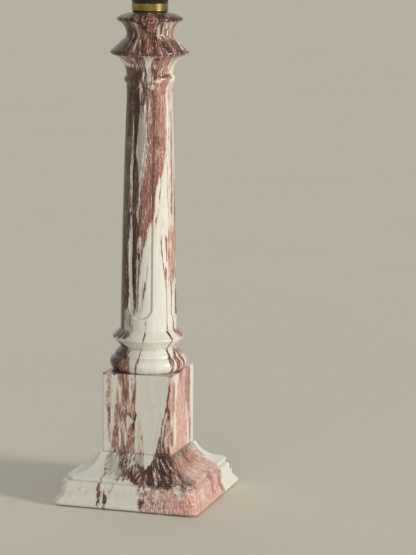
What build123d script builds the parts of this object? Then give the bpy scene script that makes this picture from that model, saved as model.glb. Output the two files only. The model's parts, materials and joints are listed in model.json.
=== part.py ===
from build123d import *
import os
from math import cos, pi, sin

# A column table lamp: a glazed plinth and a glazed column, both hollow, clamped on one threaded tube,
# with a brass collar and a switched screw lampholder on top.  Millimetres, +Z up, the origin under the
# middle of the felt.  The four flutes and the four plinth faces look along -Y, +X, +Y and -X.

# ---------------------------------------------------------------- driving dimensions
wall = 6.0               # ceramic wall
felt_thick = 1.5         # felt under the foot
felt_inset = 3.6         # felt edge, in from the foot's underside edge

# Plinth: a square foot with a moulded edge, and the square die on it.
foot_half = 75.0         # half width over the lip
under_inset = 1.8        # underside edge, in from the lip
lip_height = 6.6         # rounded lip
band_inset = 5.2         # upright band, in from the lip
flare_height = 4.6       # hollow between the lip and the band
flare_hollow = 0.27      # share of its spread left at the middle of that hollow
flare_share = 0.35       # and the share of its height where that is measured
band_height = 8.0        # upright band
round_height = 4.6       # quarter round over the band
step_inset = 4.2         # small step, in from the band
step_height = 1.7
shoulder_inset = 4.6     # shoulder, in from the step
shoulder_height = 4.1
shoulder_swell = 0.62    # share of both at the middle of its round
cove_height = 18.9       # hollow slope up to the die
cove_sag = 3.2           # how far the slope is hollowed
ledge_width = 2.6        # flat ledge round the die
die_half = 36.5          # half width of the die
die_height = 80.0
corner_trim = 1.6        # cut off each corner, measured along the diagonal
roof = 8.0               # thickness of the plinth's top
column_roof = 7.0        # and of the column's

# Column: heights are measured from the column's own foot, radii from its axis.
torus_foot_r = 32.4
torus_r = 38.5
torus_height = 15.4
bead_r = 33.5
bead_height = 2.8
scotia_r = 28.2          # neck between the two base rings
scotia_rise = 5.6        # from the bead up to the neck
ring_r = 35.9            # sharp ring under the shaft
ring_rise = 9.8          # from the neck up to the ring's edge
shaft_low_r = 28.1
bevel_rise = 8.6         # from the ring's edge up to the shaft
shaft_high_r = 22.8
shaft_length = 243.4
entasis = 0.8            # swelling of the shaft at its middle
astragal_r = 25.3
astragal_height = 9.4
bell_rise = 2.6          # plain neck over the astragal
cap_low_r = 39.3         # lower disc of the capital
bell_height = 19.8       # from the bell's foot to that disc's edge
neck_r = 22.9            # neck between the two discs
cone_rise = 17.6         # from the lower disc's edge to the neck
cap_high_r = 32.6        # upper disc of the capital
throat_rise = 14.6       # from the neck to the upper disc's edge
dome_rise = 6.9          # from that edge to the flat top
top_flat_r = 18.4

# The column's small rounds: where they end, in from a crest or out from a neck, and above or below it.
bead_set = 0.6           # bead's head, in from its foot
scotia_set = 1.2
scotia_round = 1.8
ring_set = 0.9
ring_round = 1.4
neck_set = 0.4           # flare of the shaft next to the astragal
astragal_step = 1.0      # height of that flare under the astragal
bell_hollow = 0.27       # share of the bell's spread reached at half its height
bell_set = 2.0           # under edge of the lower disc
bell_round = 2.8
edge_set = 1.0           # upper edges of both discs
edge_round = 2.0
cone_set = 3.7           # foot of the neck's round
cone_round = 5.2
throat_set = 0.8
throat_round = 2.4
throat_hollow = 0.21     # share of the throat's spread reached at a share of its height
throat_share = 0.45
dome_swell = 1.0         # swelling of the dome at a share of its height
dome_share = 0.70

flute_width = 23.5
flute_depth = 1.2
flute_foot = 12.1        # plain shaft left under each flute
flute_head = 1.4         # plain shaft left over each flute
flutes = 4

# Clamping hardware on the M10 x 1 tube.
tube_r = 5.0
tube_bore_r = 3.5
tube_tail = 6.0          # tube left under the base nut
thread_gap = 0.05
tube_hole_r = 6.2        # hole in both castings
spigot_height = 4.0      # ring on the plinth that centres the column
spigot_gap = 1.0
nut_flats = 14.0
nut_corner = 8.4         # radius over which the corners are turned off
nut_chamfer = 0.12       # share of the height that each chamfer takes
base_nut_height = 6.0
top_nut_height = 4.4
lock_washer_thick = 1.0
lock_washer_r = 9.0
lock_teeth = 10
lock_notch = 2.0         # width and depth of a notch
base_washer_r = 20.0
base_washer_thick = 2.0
base_cushion_r = 21.5
base_cushion_thick = 2.0
top_cushion_r = 16.8
top_cushion_thick = 0.8

# Cord inlet at the back of the foot.
bush_bore_r = 3.3
bush_wall = 1.1
bush_gap = 0.1           # bush in its hole
bush_flange_r = 5.4
bush_flange = 1.6
bush_tail = 4.1          # barrel past the foot's wall

# Brass collar: an open cup under the lampholder.
collar_r = 17.85
collar_height = 7.4
collar_wall = 1.3
collar_floor = 2.0
collar_lip = 0.4         # how far the rounded foot of the collar stands out
collar_lip_height = 1.6

# Lampholder cap, its switch bar and contacts.
cap_foot_r = 17.45
cap_r = 19.4
cap_flare = 11.0         # height over which the cap widens
cap_height = 26.0
cap_floor = 5.0
cap_wall = 2.2
cap_step = 1.0           # slope inside, under the upper ring
cap_boss_r = 9.5
cap_boss_height = 6.0
tube_in_cap = 9.5        # tube standing into the cap
spigot_wall = 2.0        # cap's upper ring, inside the sleeve
spigot_rise = 5.0
grub_r = 1.5
grub_length = 4.2
screw_slot = 0.6
bar_r = 2.5
bar_height = 15.0        # bar axis over the cap's underside
bar_gap = 0.08           # bar in its two holes
bar_travel = 4.5
button_r = 3.6
button_thick = 3.4
button_clear = 0.3       # button face to the cap at the end of the travel
bridge_thick = 1.2
bridge_width = 12.0
bridge_height = 5.6
bridge_x = 1.5           # bridge on the bar, at rest
post_width = 2.4
post_thick = 1.6
post_y = 4.4
contact_clear = 0.2      # bridge to posts at the end of the travel

# Insulating core, screw shell and its contacts.
core_r = 16.6
core_thick = 5.0
core_plug = 2.0
core_gap = 0.3
terminal_y = 10.0
terminal_width = 6.0
terminal_depth = 5.0
terminal_height = 6.0
screw_r = 1.4
screw_head_r = 2.4
screw_head = 1.8
screw_shank = 2.8
rivet_r = 1.2
rivet_head_r = 2.1
rivet_head = 0.8
shell_bore_r = 13.3
shell_wall = 0.5
shell_length = 23.0
shell_flange = 0.6
shell_flange_r = 7.4     # inner edge of the flange under the shell
shell_foot = 4.3         # narrower foot of the shell, below its thread
shell_foot_set = 0.5     # how much narrower, and the slope up to the thread
shell_foot_slope = 0.9
leaf_width = 5.0
leaf_thick = 0.5
leaf_rise = 3.6
leaf_tip = 4.0           # leaf past the axis
leaf_margin = 0.6        # flat part beyond the rivet's head
leaf_bend = 0.1          # shift of the upper side at each bend

# Outer sleeve with its thread, and the shade ring on it.
sleeve_r = 19.4
sleeve_gap = 0.1         # sleeve over the cap's upper ring
sleeve_bore_gap = 0.8    # air round the screw shell
shade_seat_r = 23.0
shade_seat_thick = 3.0
seat_slope = 1.5         # slope under the seat
thread_pitch = 2.5
thread_depth = 0.6
thread_turns = 8
thread_root = 0.15       # shares of a pitch where a ring's foot and crest begin
thread_crest = 0.40
sleeve_mouth = 2.4       # plain rim over the thread
mouth_lip = 0.5          # rim over the shell's end
mouth_chamfer = 0.8
mouth_step = 0.2         # rim's bore, out from the shell's
ring_gap = 0.08          # shade ring over the thread crests
ring_clear = 0.3         # shade ring over its seat
ring_flange_r = 28.0
ring_flange = 2.4
ring_grip_r = 24.6
ring_height = 8.6
ring_scallops = 24
scallop_r = 1.0

# ---------------------------------------------------------------- levels and radii worked out
foot_z = felt_thick
lip_z = foot_z + lip_height / 2
lip_top = foot_z + lip_height
band_low = lip_top + flare_height
band_top = band_low + band_height
step_low = band_top + round_height
step_top = step_low + step_height
shoulder_z = step_top + shoulder_height
ledge_z = shoulder_z + cove_height
plinth_top = ledge_z + die_height
roof_under = plinth_top - roof

under_half = foot_half - under_inset
band_half = foot_half - band_inset
step_half = band_half - step_inset
shoulder_half = step_half - shoulder_inset
ledge_half = die_half + ledge_width

bead_z = torus_height
scotia_z = bead_z + bead_height + scotia_rise
ring_z = scotia_z + ring_rise
shaft_z = ring_z + bevel_rise
shaft_top_z = shaft_z + shaft_length
bell_z = shaft_top_z + astragal_height + bell_rise
cap_low_z = bell_z + bell_height
neck_z = cap_low_z + cone_rise
cap_high_z = neck_z + throat_rise
column_height = cap_high_z + dome_rise
bore_low_r = shaft_low_r - flute_depth - wall
bore_high_r = shaft_high_r - flute_depth - wall
spigot_r = bore_low_r - spigot_gap
column_top = plinth_top + column_height

collar_z = column_top + top_cushion_thick
collar_top = collar_z + collar_height
base_nut_z = (roof_under - base_cushion_thick - base_washer_thick
              - lock_washer_thick - base_nut_height)

cap_top = collar_top + cap_height
cap_ring_top = cap_top + spigot_rise
cap_ring_r = sleeve_r - cap_wall - sleeve_gap
cap_ring_bore = cap_ring_r - spigot_wall
cap_bore_r = cap_foot_r - cap_wall
bar_z = collar_top + bar_height
core_z = cap_ring_top
core_top = core_z + core_thick
core_under = core_z - core_plug
shell_r = shell_bore_r + shell_wall
shell_top = core_top + shell_length
sleeve_top = shell_top + mouth_lip
crest_r = sleeve_r + thread_depth
thread_length = thread_turns * thread_pitch
thread_z = sleeve_top - sleeve_mouth - thread_length
seat_z = cap_top + sleeve_gap
ring_seat = thread_z + ring_clear


def point(r, z):
    """A point of an outline: a distance from the axis and a height."""
    return (r, 0, z)


def tube(r_out, r_in, z, height):
    """A ring about the axis, standing on the level z."""
    ring = Cylinder(r_out, height, align=(Align.CENTER, Align.CENTER, Align.MIN))
    bore = Cylinder(r_in, height, align=(Align.CENTER, Align.CENTER, Align.MIN))
    return Pos(0, 0, z) * (ring - bore)


def disc(r, z, height):
    """A plain round plug standing on the level z."""
    return Pos(0, 0, z) * Cylinder(r, height, align=(Align.CENTER, Align.CENTER, Align.MIN))


def block(x, y, z, centre_x, centre_y, low_z):
    """A box standing on the level low_z."""
    return Pos(centre_x, centre_y, low_z) * Box(x, y, z, align=(Align.CENTER, Align.CENTER, Align.MIN))


def turned(edges):
    """The solid of revolution of a closed outline."""
    return revolve(make_face(Wire(edges)), axis=Axis.Z)


def chain(*points):
    """Straight edges from point to point."""
    return [Line(a, b) for a, b in zip(points, points[1:])]


def mitred(edges, reach):
    """A square moulding with mitred corners from half of its outline, drawn outwards from the axis."""
    half = make_face(Wire(edges))
    full = half + mirror(half, about=Plane.YZ)
    one = extrude(full, amount=reach, dir=(0, 1, 0), both=True)
    return one & (Rot(0, 0, 90) * one)


# ---------------------------------------------------------------- ceramic plinth
def plinth_outline(spread=1.0, trim=0.0):
    """Half of the plinth's outline, from the middle of its underside to the middle of its top, with
    its half widths multiplied by spread and then cut back by trim."""
    def at(half, z):
        return point(half * spread - trim, z)

    under = at(under_half, foot_z)
    lip_low = at(foot_half, lip_z)
    lip_high = at(foot_half - under_inset / 2, lip_top)
    flare_mid = at(band_half + flare_hollow * band_inset, lip_top + flare_share * flare_height)
    band_foot = at(band_half, band_low)
    band_head = at(band_half, band_top)
    step_foot = at(step_half, step_low)
    step_head = at(step_half, step_top)
    shoulder_mid = at(shoulder_half + shoulder_swell * shoulder_inset,
                      step_top + shoulder_swell * shoulder_height)
    shoulder = at(shoulder_half, shoulder_z)
    slope_x = shoulder_half - ledge_half
    slope = (slope_x ** 2 + cove_height ** 2) ** 0.5
    cove_mid = at((shoulder_half + ledge_half) / 2 - cove_sag * cove_height / slope,
                  (shoulder_z + ledge_z) / 2 - cove_sag * slope_x / slope)
    ledge = at(ledge_half, ledge_z)
    die_foot = at(die_half, ledge_z)
    die_head = at(die_half, plinth_top)
    middle_top = point(0, plinth_top)
    middle = point(0, foot_z)
    return ([Line(middle, under), ThreePointArc(under, lip_low, lip_high)]
            + [ThreePointArc(lip_high, flare_mid, band_foot), Line(band_foot, band_head)]
            + [TangentArc(band_head, step_foot, tangent=(0, 0, 1)), Line(step_foot, step_head)]
            + [ThreePointArc(step_head, shoulder_mid, shoulder), ThreePointArc(shoulder, cove_mid, ledge)]
            + chain(ledge, die_foot, die_head, middle_top, middle))


def plinth_cavity_outline():
    """Half of the hollow inside the plinth, open at the bottom."""
    below = foot_z - felt_thick
    points = [point(0, below), point(under_half - wall, below), point(band_half - wall, band_low),
              point(step_half - wall, band_top), point(ledge_half, shoulder_z - wall),
              point(die_half - wall, shoulder_z), point(die_half - wall, roof_under),
              point(0, roof_under), point(0, below)]
    return chain(*points)


def make_plinth():
    """The moulded foot and die; a turned copy of the moulding takes the sharp edge off the corners."""
    turned_copy = Rot(0, 0, 45) * mitred(plinth_outline(2 ** 0.5, corner_trim), 2 * foot_half)
    solid = mitred(plinth_outline(), foot_half) & turned_copy
    solid -= mitred(plinth_cavity_outline(), foot_half)
    solid += tube(spigot_r, tube_hole_r, plinth_top, spigot_height)
    solid -= disc(tube_hole_r, roof_under, roof)
    return solid - bush_hole()


# ---------------------------------------------------------------- ceramic column
def shaft_arc(shift):
    """The shaft's swelling outline, moved in by shift, from its foot to its head."""
    low = point(shaft_low_r - shift, plinth_top + shaft_z)
    middle = point((shaft_low_r + shaft_high_r) / 2 + entasis - shift,
                   plinth_top + shaft_z + shaft_length / 2)
    high = point(shaft_high_r - shift, plinth_top + shaft_top_z)
    return ThreePointArc(low, middle, high)


def column_outline():
    """Half of the column's outline, from the middle of its foot to the middle of its top."""
    z = plinth_top
    foot = point(torus_foot_r, z)
    torus_mid = point(torus_r, z + torus_height / 2)
    bead_low = point(bead_r, z + bead_z)
    bead_high = point(bead_r - bead_set, z + bead_z + bead_height)
    scotia_low = point(scotia_r + scotia_set, z + scotia_z - scotia_round)
    scotia_mid = point(scotia_r, z + scotia_z)
    scotia_high = point(scotia_r + scotia_set, z + scotia_z + scotia_round)
    ring_low = point(ring_r - ring_set, z + ring_z - ring_round)
    ring_edge = point(ring_r, z + ring_z)
    ring_high = point(ring_r - ring_set, z + ring_z + ring_round)
    shaft_foot = point(shaft_low_r, z + shaft_z)
    shaft_head = point(shaft_high_r, z + shaft_top_z)
    astragal_low = point(shaft_high_r + neck_set, z + shaft_top_z + astragal_step)
    astragal_mid = point(astragal_r, z + shaft_top_z + (astragal_height + astragal_step) / 2)
    astragal_high = point(shaft_high_r + neck_set, z + shaft_top_z + astragal_height)
    bell_foot = point(shaft_high_r + neck_set, z + bell_z)
    bell_mid = point(shaft_high_r + neck_set + bell_hollow * (cap_low_r - shaft_high_r),
                     z + bell_z + bell_height / 2)
    bell_head = point(cap_low_r - bell_set, z + cap_low_z - bell_round)
    low_edge = point(cap_low_r, z + cap_low_z)
    low_top = point(cap_low_r - edge_set, z + cap_low_z + edge_round)
    cone_head = point(neck_r + cone_set, z + neck_z - cone_round)
    throat_low = point(neck_r + throat_set, z + neck_z - throat_round)
    throat_foot = point(neck_r, z + neck_z)
    throat_mid = point(neck_r + throat_hollow * (cap_high_r - neck_r),
                       z + neck_z + throat_share * throat_rise)
    throat_head = point(cap_high_r - edge_set, z + cap_high_z - edge_round)
    high_edge = point(cap_high_r, z + cap_high_z)
    high_top = point(cap_high_r - edge_set, z + cap_high_z + edge_round)
    dome_mid = point((cap_high_r + top_flat_r) / 2 + dome_swell, z + cap_high_z + dome_share * dome_rise)
    flat_edge = point(top_flat_r, z + column_height)
    middle_top = point(0, z + column_height)
    middle = point(0, z)
    return ([Line(middle, foot), ThreePointArc(foot, torus_mid, bead_low)]
            + chain(bead_low, bead_high, scotia_low)
            + [ThreePointArc(scotia_low, scotia_mid, scotia_high), Line(scotia_high, ring_low)]
            + [ThreePointArc(ring_low, ring_edge, ring_high), Line(ring_high, shaft_foot)]
            + [shaft_arc(0), Line(shaft_head, astragal_low)]
            + [ThreePointArc(astragal_low, astragal_mid, astragal_high), Line(astragal_high, bell_foot)]
            + [ThreePointArc(bell_foot, bell_mid, bell_head), ThreePointArc(bell_head, low_edge, low_top)]
            + [Line(low_top, cone_head), ThreePointArc(cone_head, throat_low, throat_foot)]
            + [ThreePointArc(throat_foot, throat_mid, throat_head)]
            + [ThreePointArc(throat_head, high_edge, high_top), ThreePointArc(high_top, dome_mid, flat_edge)]
            + chain(flat_edge, middle_top, middle))


def column_bore():
    """The hollow of the column: it tapers with the shaft and is open at the foot."""
    z = plinth_top
    roof_z = z + column_height - column_roof
    points = [point(0, z), point(bore_low_r, z), point(bore_low_r, z + shaft_z),
              point(bore_high_r, z + shaft_top_z), point(bore_high_r, roof_z), point(0, roof_z), point(0, z)]
    return turned(chain(*points))


def flute_cutters():
    """Sunk panels with round ends, whose floors follow the shaft's swelling."""
    low = plinth_top + shaft_z + flute_foot
    high = plinth_top + shaft_top_z - flute_head
    outside = shaft_low_r + wall
    floor = shaft_arc(flute_depth)
    sleeve = turned([floor] + chain(floor @ 1, point(outside, plinth_top + shaft_top_z),
                                    point(outside, plinth_top + shaft_z), floor @ 0))
    slot = Plane.XZ * Pos(0, (low + high) / 2) * SlotOverall(high - low, flute_width, rotation=90)
    prism = extrude(slot, amount=outside)
    return [Rot(0, 0, 360 / flutes * n) * (sleeve & prism) for n in range(flutes)]


def make_column():
    solid = turned(column_outline())
    for cutter in flute_cutters():
        solid -= cutter
    solid -= column_bore()
    return solid - disc(tube_hole_r, plinth_top + column_height / 2, column_height)


# ---------------------------------------------------------------- felt and cord inlet
def make_felt():
    half = under_half - felt_inset
    return extrude(RectangleRounded(2 * half, 2 * half, 2 * corner_trim), amount=felt_thick)


def bush_axis():
    """The cord inlet's place: low on the upright band, at the back, looking outwards."""
    return Plane(origin=(0, band_half, band_low + bush_flange_r + bush_gap), z_dir=(0, 1, 0))


def bush_hole():
    barrel_r = bush_bore_r + bush_wall
    return extrude(bush_axis() * Circle(barrel_r + bush_gap), amount=-2 * (wall + bush_tail))


def make_cord_bush():
    """A grommet with an outer and an inner flange; the foot's wall lies between the two."""
    place = bush_axis()
    barrel_r = bush_bore_r + bush_wall
    reach = wall + bush_tail
    body = extrude(place * Circle(bush_flange_r), amount=bush_flange)
    body = fillet(body.edges().filter_by(GeomType.CIRCLE).sort_by(Axis.Y)[-1], bush_flange / 2)
    body += extrude(place * Circle(barrel_r), amount=-reach)
    return body - extrude(place * Circle(bush_bore_r), amount=reach + bush_flange, both=True)


# ---------------------------------------------------------------- clamping hardware
def hex_nut(z, height):
    nut = extrude(RegularPolygon(nut_flats / 2, 6, major_radius=False), amount=height)
    chamfer_z = nut_chamfer * height
    crown = turned(chain(point(0, 0), point(nut_flats / 2, 0), point(nut_corner, chamfer_z),
                         point(nut_corner, height - chamfer_z), point(nut_flats / 2, height),
                         point(0, height), point(0, 0)))
    nut = nut & crown
    return Pos(0, 0, z) * (nut - disc(tube_r + thread_gap, 0, height))


def make_lock_washer():
    """A toothed washer: notches round its rim."""
    washer = tube(lock_washer_r, tube_r + thread_gap, base_nut_z + base_nut_height, lock_washer_thick)
    notch = block(2 * lock_notch, lock_notch, lock_washer_thick, lock_washer_r, 0,
                  base_nut_z + base_nut_height)
    for n in range(lock_teeth):
        washer -= Rot(0, 0, 360 / lock_teeth * n) * notch
    return washer


def make_threaded_tube():
    low = base_nut_z - tube_tail
    return tube(tube_r, tube_bore_r, low, collar_top + tube_in_cap - low)


def make_brass_collar():
    """A cup with a rounded foot; its rim carries the lampholder."""
    lip_r = collar_r + collar_lip
    bore_r = collar_r - collar_wall
    low, high = collar_z, collar_top
    lip_mid = point(lip_r, low + collar_lip_height / 2)
    outline = chain(point(tube_r + thread_gap, low), point(collar_r, low))
    outline += [ThreePointArc(point(collar_r, low), lip_mid, point(collar_r, low + collar_lip_height))]
    outline += chain(point(collar_r, low + collar_lip_height), point(collar_r, high), point(bore_r, high),
                     point(bore_r, low + collar_floor), point(tube_r + thread_gap, low + collar_floor),
                     point(tube_r + thread_gap, low))
    return turned(outline)


# ---------------------------------------------------------------- lampholder cap and switch
def cap_radius(height):
    """The cap's outer radius at a height over its underside."""
    share = min(height / cap_flare, 1.0)
    return cap_foot_r + (cap_r - cap_foot_r) * sin(share * pi / 2)


def make_lampholder_cap():
    z = collar_top
    flare_mid = point(cap_radius(cap_flare / 2), z + cap_flare / 2)
    foot, flare_head = point(cap_foot_r, z), point(cap_r, z + cap_flare)
    outline = chain(point(0, z), foot) + [ThreePointArc(foot, flare_mid, flare_head)]
    outline += chain(flare_head, point(cap_r, cap_top), point(cap_ring_r, cap_top),
                     point(cap_ring_r, cap_ring_top), point(cap_ring_bore, cap_ring_top),
                     point(cap_ring_bore, cap_top), point(cap_bore_r, cap_top - cap_step),
                     point(cap_bore_r, z + cap_floor), point(cap_boss_r, z + cap_floor),
                     point(cap_boss_r, z + cap_floor + cap_boss_height),
                     point(0, z + cap_floor + cap_boss_height), point(0, z))
    solid = turned(outline) - disc(tube_r + thread_gap, z, cap_floor + cap_boss_height)
    solid -= Pos(0, 0, bar_z) * Rot(0, 90, 0) * Cylinder(bar_r + bar_gap, 4 * cap_r)
    hole = Plane(origin=(0, 0, grub_z()), z_dir=(0, 1, 0)) * Circle(grub_r + thread_gap)
    return solid - extrude(hole, amount=cap_boss_r + grub_r)


def grub_z():
    return collar_top + cap_floor + cap_boss_height / 2


def make_grub_screw():
    """The slotted screw in the cap's boss that locks the cap to the tube."""
    start = tube_r + thread_gap
    screw = extrude(Plane(origin=(0, start, grub_z()), z_dir=(0, 1, 0)) * Circle(grub_r), amount=grub_length)
    slot = Pos(0, start + grub_length, grub_z()) * Box(4 * grub_r, 2 * screw_slot, screw_slot)
    return screw - slot


def button_reach():
    """How far out a button's inner face sits when the bar is at that end of its travel."""
    return cap_r + button_clear


def make_push_bar():
    """The bar with the button that is moulded on it, at its far end before the switch is pushed."""
    face = -(button_reach() + bar_travel)
    end = button_reach() + button_thick / 2
    bar = Plane(origin=(face, 0, bar_z), z_dir=(1, 0, 0)) * Circle(bar_r)
    solid = extrude(bar, amount=end - face)
    return solid + button(face, -1)


def button(face, side):
    """A round button whose inner face is at x = face and whose domed face looks to that side."""
    disc_face = Plane(origin=(face, 0, bar_z), z_dir=(side, 0, 0)) * Circle(button_r)
    solid = extrude(disc_face, amount=button_thick)
    outer = solid.edges().filter_by(GeomType.CIRCLE).sort_by(lambda e: side * e.center().X)[-1]
    return fillet(outer, button_thick / 3)


def make_bar_button():
    """The second button, screwed on the bar's other end."""
    face = button_reach()
    pocket = Plane(origin=(face, 0, bar_z), z_dir=(1, 0, 0)) * Circle(bar_r + thread_gap)
    return button(face, 1) - extrude(pocket, amount=button_thick / 2)


def make_contact_bridge():
    """The brass plate that the bar carries against the two posts."""
    plate = Pos(bridge_x, 0, bar_z) * Box(bridge_thick, bridge_width, bridge_height)
    return plate - Pos(bridge_x, 0, bar_z) * Rot(0, 90, 0) * Cylinder(bar_r, 2 * bridge_thick)


def make_switch_posts():
    """Two fixed contacts under the core, which the bridge meets at the end of the travel."""
    x = bridge_x + bridge_thick / 2 + bar_travel + contact_clear + post_thick / 2
    low = bar_z - bridge_height / 2
    posts = [block(post_thick, post_width, core_under - low, x, side * post_y, low) for side in (-1, 1)]
    return Compound(children=posts)


# ---------------------------------------------------------------- core, terminals, shell, contacts
def make_core():
    """The insulating disc, with a plug into the cap's ring and two rivet holes."""
    solid = disc(core_r, core_z, core_thick) + disc(cap_ring_bore - core_gap, core_under, core_plug)
    for side in (-1, 1):
        rivet_hole = Cylinder(rivet_r + thread_gap, 2 * (core_plug + core_thick))
        solid -= Pos(0, side * terminal_y, core_under) * rivet_hole
    return solid


def make_terminals():
    """Two brass blocks under the core, each with a screw hole from below and a wire hole across."""
    blocks = []
    low = core_under - terminal_height
    for side in (-1, 1):
        body = block(terminal_width, terminal_depth, terminal_height, 0, side * terminal_y, low)
        body -= Pos(0, side * terminal_y, low) * Cylinder(screw_r + thread_gap, terminal_height)
        blocks.append(body)
    return Compound(children=blocks)


def make_terminal_screws():
    low = core_under - terminal_height
    screws = []
    for side in (-1, 1):
        head = disc(screw_head_r, low - screw_head, screw_head)
        shank = disc(screw_r, low, screw_shank)
        slot = block(2 * screw_head_r, screw_slot, screw_head / 2, 0, 0, low - screw_head)
        screws.append(Pos(0, side * terminal_y, 0) * (head + shank - slot))
    return Compound(children=screws)


def make_rivets():
    """One rivet holds the shell's flange, the other the centre leaf; both end on the terminals."""
    tops = (core_top + shell_flange, core_top + leaf_thick)
    rivets = []
    for side, top in zip((-1, 1), tops):
        shank = disc(rivet_r, core_under, top - core_under)
        head = disc(rivet_head_r, top, rivet_head)
        rivets.append(Pos(0, side * terminal_y, 0) * (shank + head))
    return Compound(children=rivets)


def make_screw_shell():
    """The lamp's screw shell: a thread, drawn as a plain bore, over a narrower foot with half a flange."""
    foot_r = shell_r - shell_foot_set
    thread_low = core_top + shell_foot + shell_foot_slope
    shell = turned(chain(point(foot_r - shell_wall, core_top), point(foot_r, core_top),
                         point(foot_r, core_top + shell_foot), point(shell_r, thread_low),
                         point(shell_r, shell_top), point(shell_bore_r, shell_top),
                         point(shell_bore_r, thread_low), point(foot_r - shell_wall, core_top + shell_foot),
                         point(foot_r - shell_wall, core_top)))
    flange = tube(foot_r - shell_wall / 2, shell_flange_r, core_top, shell_flange)
    half = block(2 * shell_r, shell_r, shell_flange, 0, -shell_r / 2 - rivet_head_r, core_top)
    flange = flange & half
    hole = Pos(0, -terminal_y, core_top) * Cylinder(rivet_r + thread_gap, 4 * shell_flange)
    return shell + flange - hole


def make_centre_contact():
    """A bent leaf: flat under its rivet, then up to the middle of the shell."""
    flat_end = terminal_y - rivet_head_r - leaf_margin
    start = terminal_y + rivet_head_r
    outline = Polyline((start, core_top), (flat_end, core_top), (0, core_top + leaf_rise),
                       (-leaf_tip, core_top + leaf_rise), (-leaf_tip, core_top + leaf_rise + leaf_thick),
                       (-leaf_bend, core_top + leaf_rise + leaf_thick),
                       (flat_end + leaf_bend, core_top + leaf_thick),
                       (start, core_top + leaf_thick), close=True)
    leaf = extrude(Plane.YZ * make_face(outline), amount=leaf_width / 2, both=True)
    hole = Pos(0, terminal_y, core_top) * Cylinder(rivet_r + thread_gap, 4 * leaf_thick)
    return leaf - hole


# ---------------------------------------------------------------- sleeve and shade ring
def make_sleeve():
    """The outer sleeve: a seat for the shade, a thread drawn as rings, and a mouth round the shell."""
    bore_low = cap_ring_r + sleeve_gap
    bore_high = shell_r + sleeve_bore_gap
    points = [point(bore_low, seat_z), point(sleeve_r, seat_z),
              point(sleeve_r, thread_z - shade_seat_thick - seat_slope),
              point(shade_seat_r, thread_z - shade_seat_thick), point(shade_seat_r, thread_z),
              point(sleeve_r, thread_z)]
    for turn in range(thread_turns):
        z = thread_z + turn * thread_pitch
        points += [point(sleeve_r, z + thread_root * thread_pitch),
                   point(crest_r, z + thread_crest * thread_pitch),
                   point(crest_r, z + (1 - thread_crest) * thread_pitch),
                   point(sleeve_r, z + (1 - thread_root) * thread_pitch)]
    mouth_r = shell_bore_r + mouth_step
    points += [point(sleeve_r, sleeve_top - mouth_chamfer), point(sleeve_r - mouth_chamfer, sleeve_top),
               point(mouth_r, sleeve_top), point(mouth_r, shell_top + sleeve_gap),
               point(bore_high, shell_top + sleeve_gap), point(bore_high, core_top + sleeve_gap),
               point(bore_low, core_top + sleeve_gap), point(bore_low, seat_z)]
    return turned(chain(*points))


def make_shade_ring():
    """The ring that screws down on a shade: a flange and a scalloped grip."""
    bore_r = crest_r + ring_gap
    flange = tube(ring_flange_r, bore_r, ring_seat, ring_flange)
    flange = fillet(flange.edges().filter_by(GeomType.CIRCLE).sort_by(SortBy.RADIUS)[-2:], ring_flange / 4)
    grip = tube(ring_grip_r, bore_r, ring_seat, ring_height)
    for n in range(ring_scallops):
        angle = 2 * pi * n / ring_scallops
        grip -= Pos(ring_grip_r * cos(angle), ring_grip_r * sin(angle), ring_seat + ring_height) * Cylinder(
            scallop_r, 2 * (ring_height - ring_flange))
    return flange + grip


NODES = {
    "plinth": make_plinth,
    "column": make_column,
    "felt_pad": make_felt,
    "cord_bush": make_cord_bush,
    "threaded_tube": make_threaded_tube,
    "base_cushion": lambda: tube(base_cushion_r, tube_r + spigot_gap, roof_under - base_cushion_thick,
                                 base_cushion_thick),
    "base_washer": lambda: tube(base_washer_r, tube_r + thread_gap,
                                roof_under - base_cushion_thick - base_washer_thick, base_washer_thick),
    "lock_washer": make_lock_washer,
    "base_nut": lambda: hex_nut(base_nut_z, base_nut_height),
    "top_cushion": lambda: tube(top_cushion_r, tube_r + thread_gap, column_top, top_cushion_thick),
    "brass_collar": make_brass_collar,
    "top_nut": lambda: hex_nut(collar_z + collar_floor, top_nut_height),
    "lampholder_cap": make_lampholder_cap,
    "grub_screw": make_grub_screw,
    "push_bar": make_push_bar,
    "bar_button": make_bar_button,
    "contact_bridge": make_contact_bridge,
    "switch_posts": make_switch_posts,
    "lampholder_core": make_core,
    "terminals": make_terminals,
    "terminal_screws": make_terminal_screws,
    "contact_rivets": make_rivets,
    "screw_shell": make_screw_shell,
    "centre_contact": make_centre_contact,
    "lampholder_sleeve": make_sleeve,
    "shade_ring": make_shade_ring,
}

os.makedirs("parts", exist_ok=True)
for name, make in NODES.items():
    export_step(make(), f"parts/{name}.step")
print("overall height", round(sleeve_top, 2), "collar top", round(collar_top, 2))
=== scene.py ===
import json
from cmath import phase, rect
from math import cos, pi, radians, sin

import bpy
import numpy as np
from mathutils import Matrix, Vector


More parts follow.
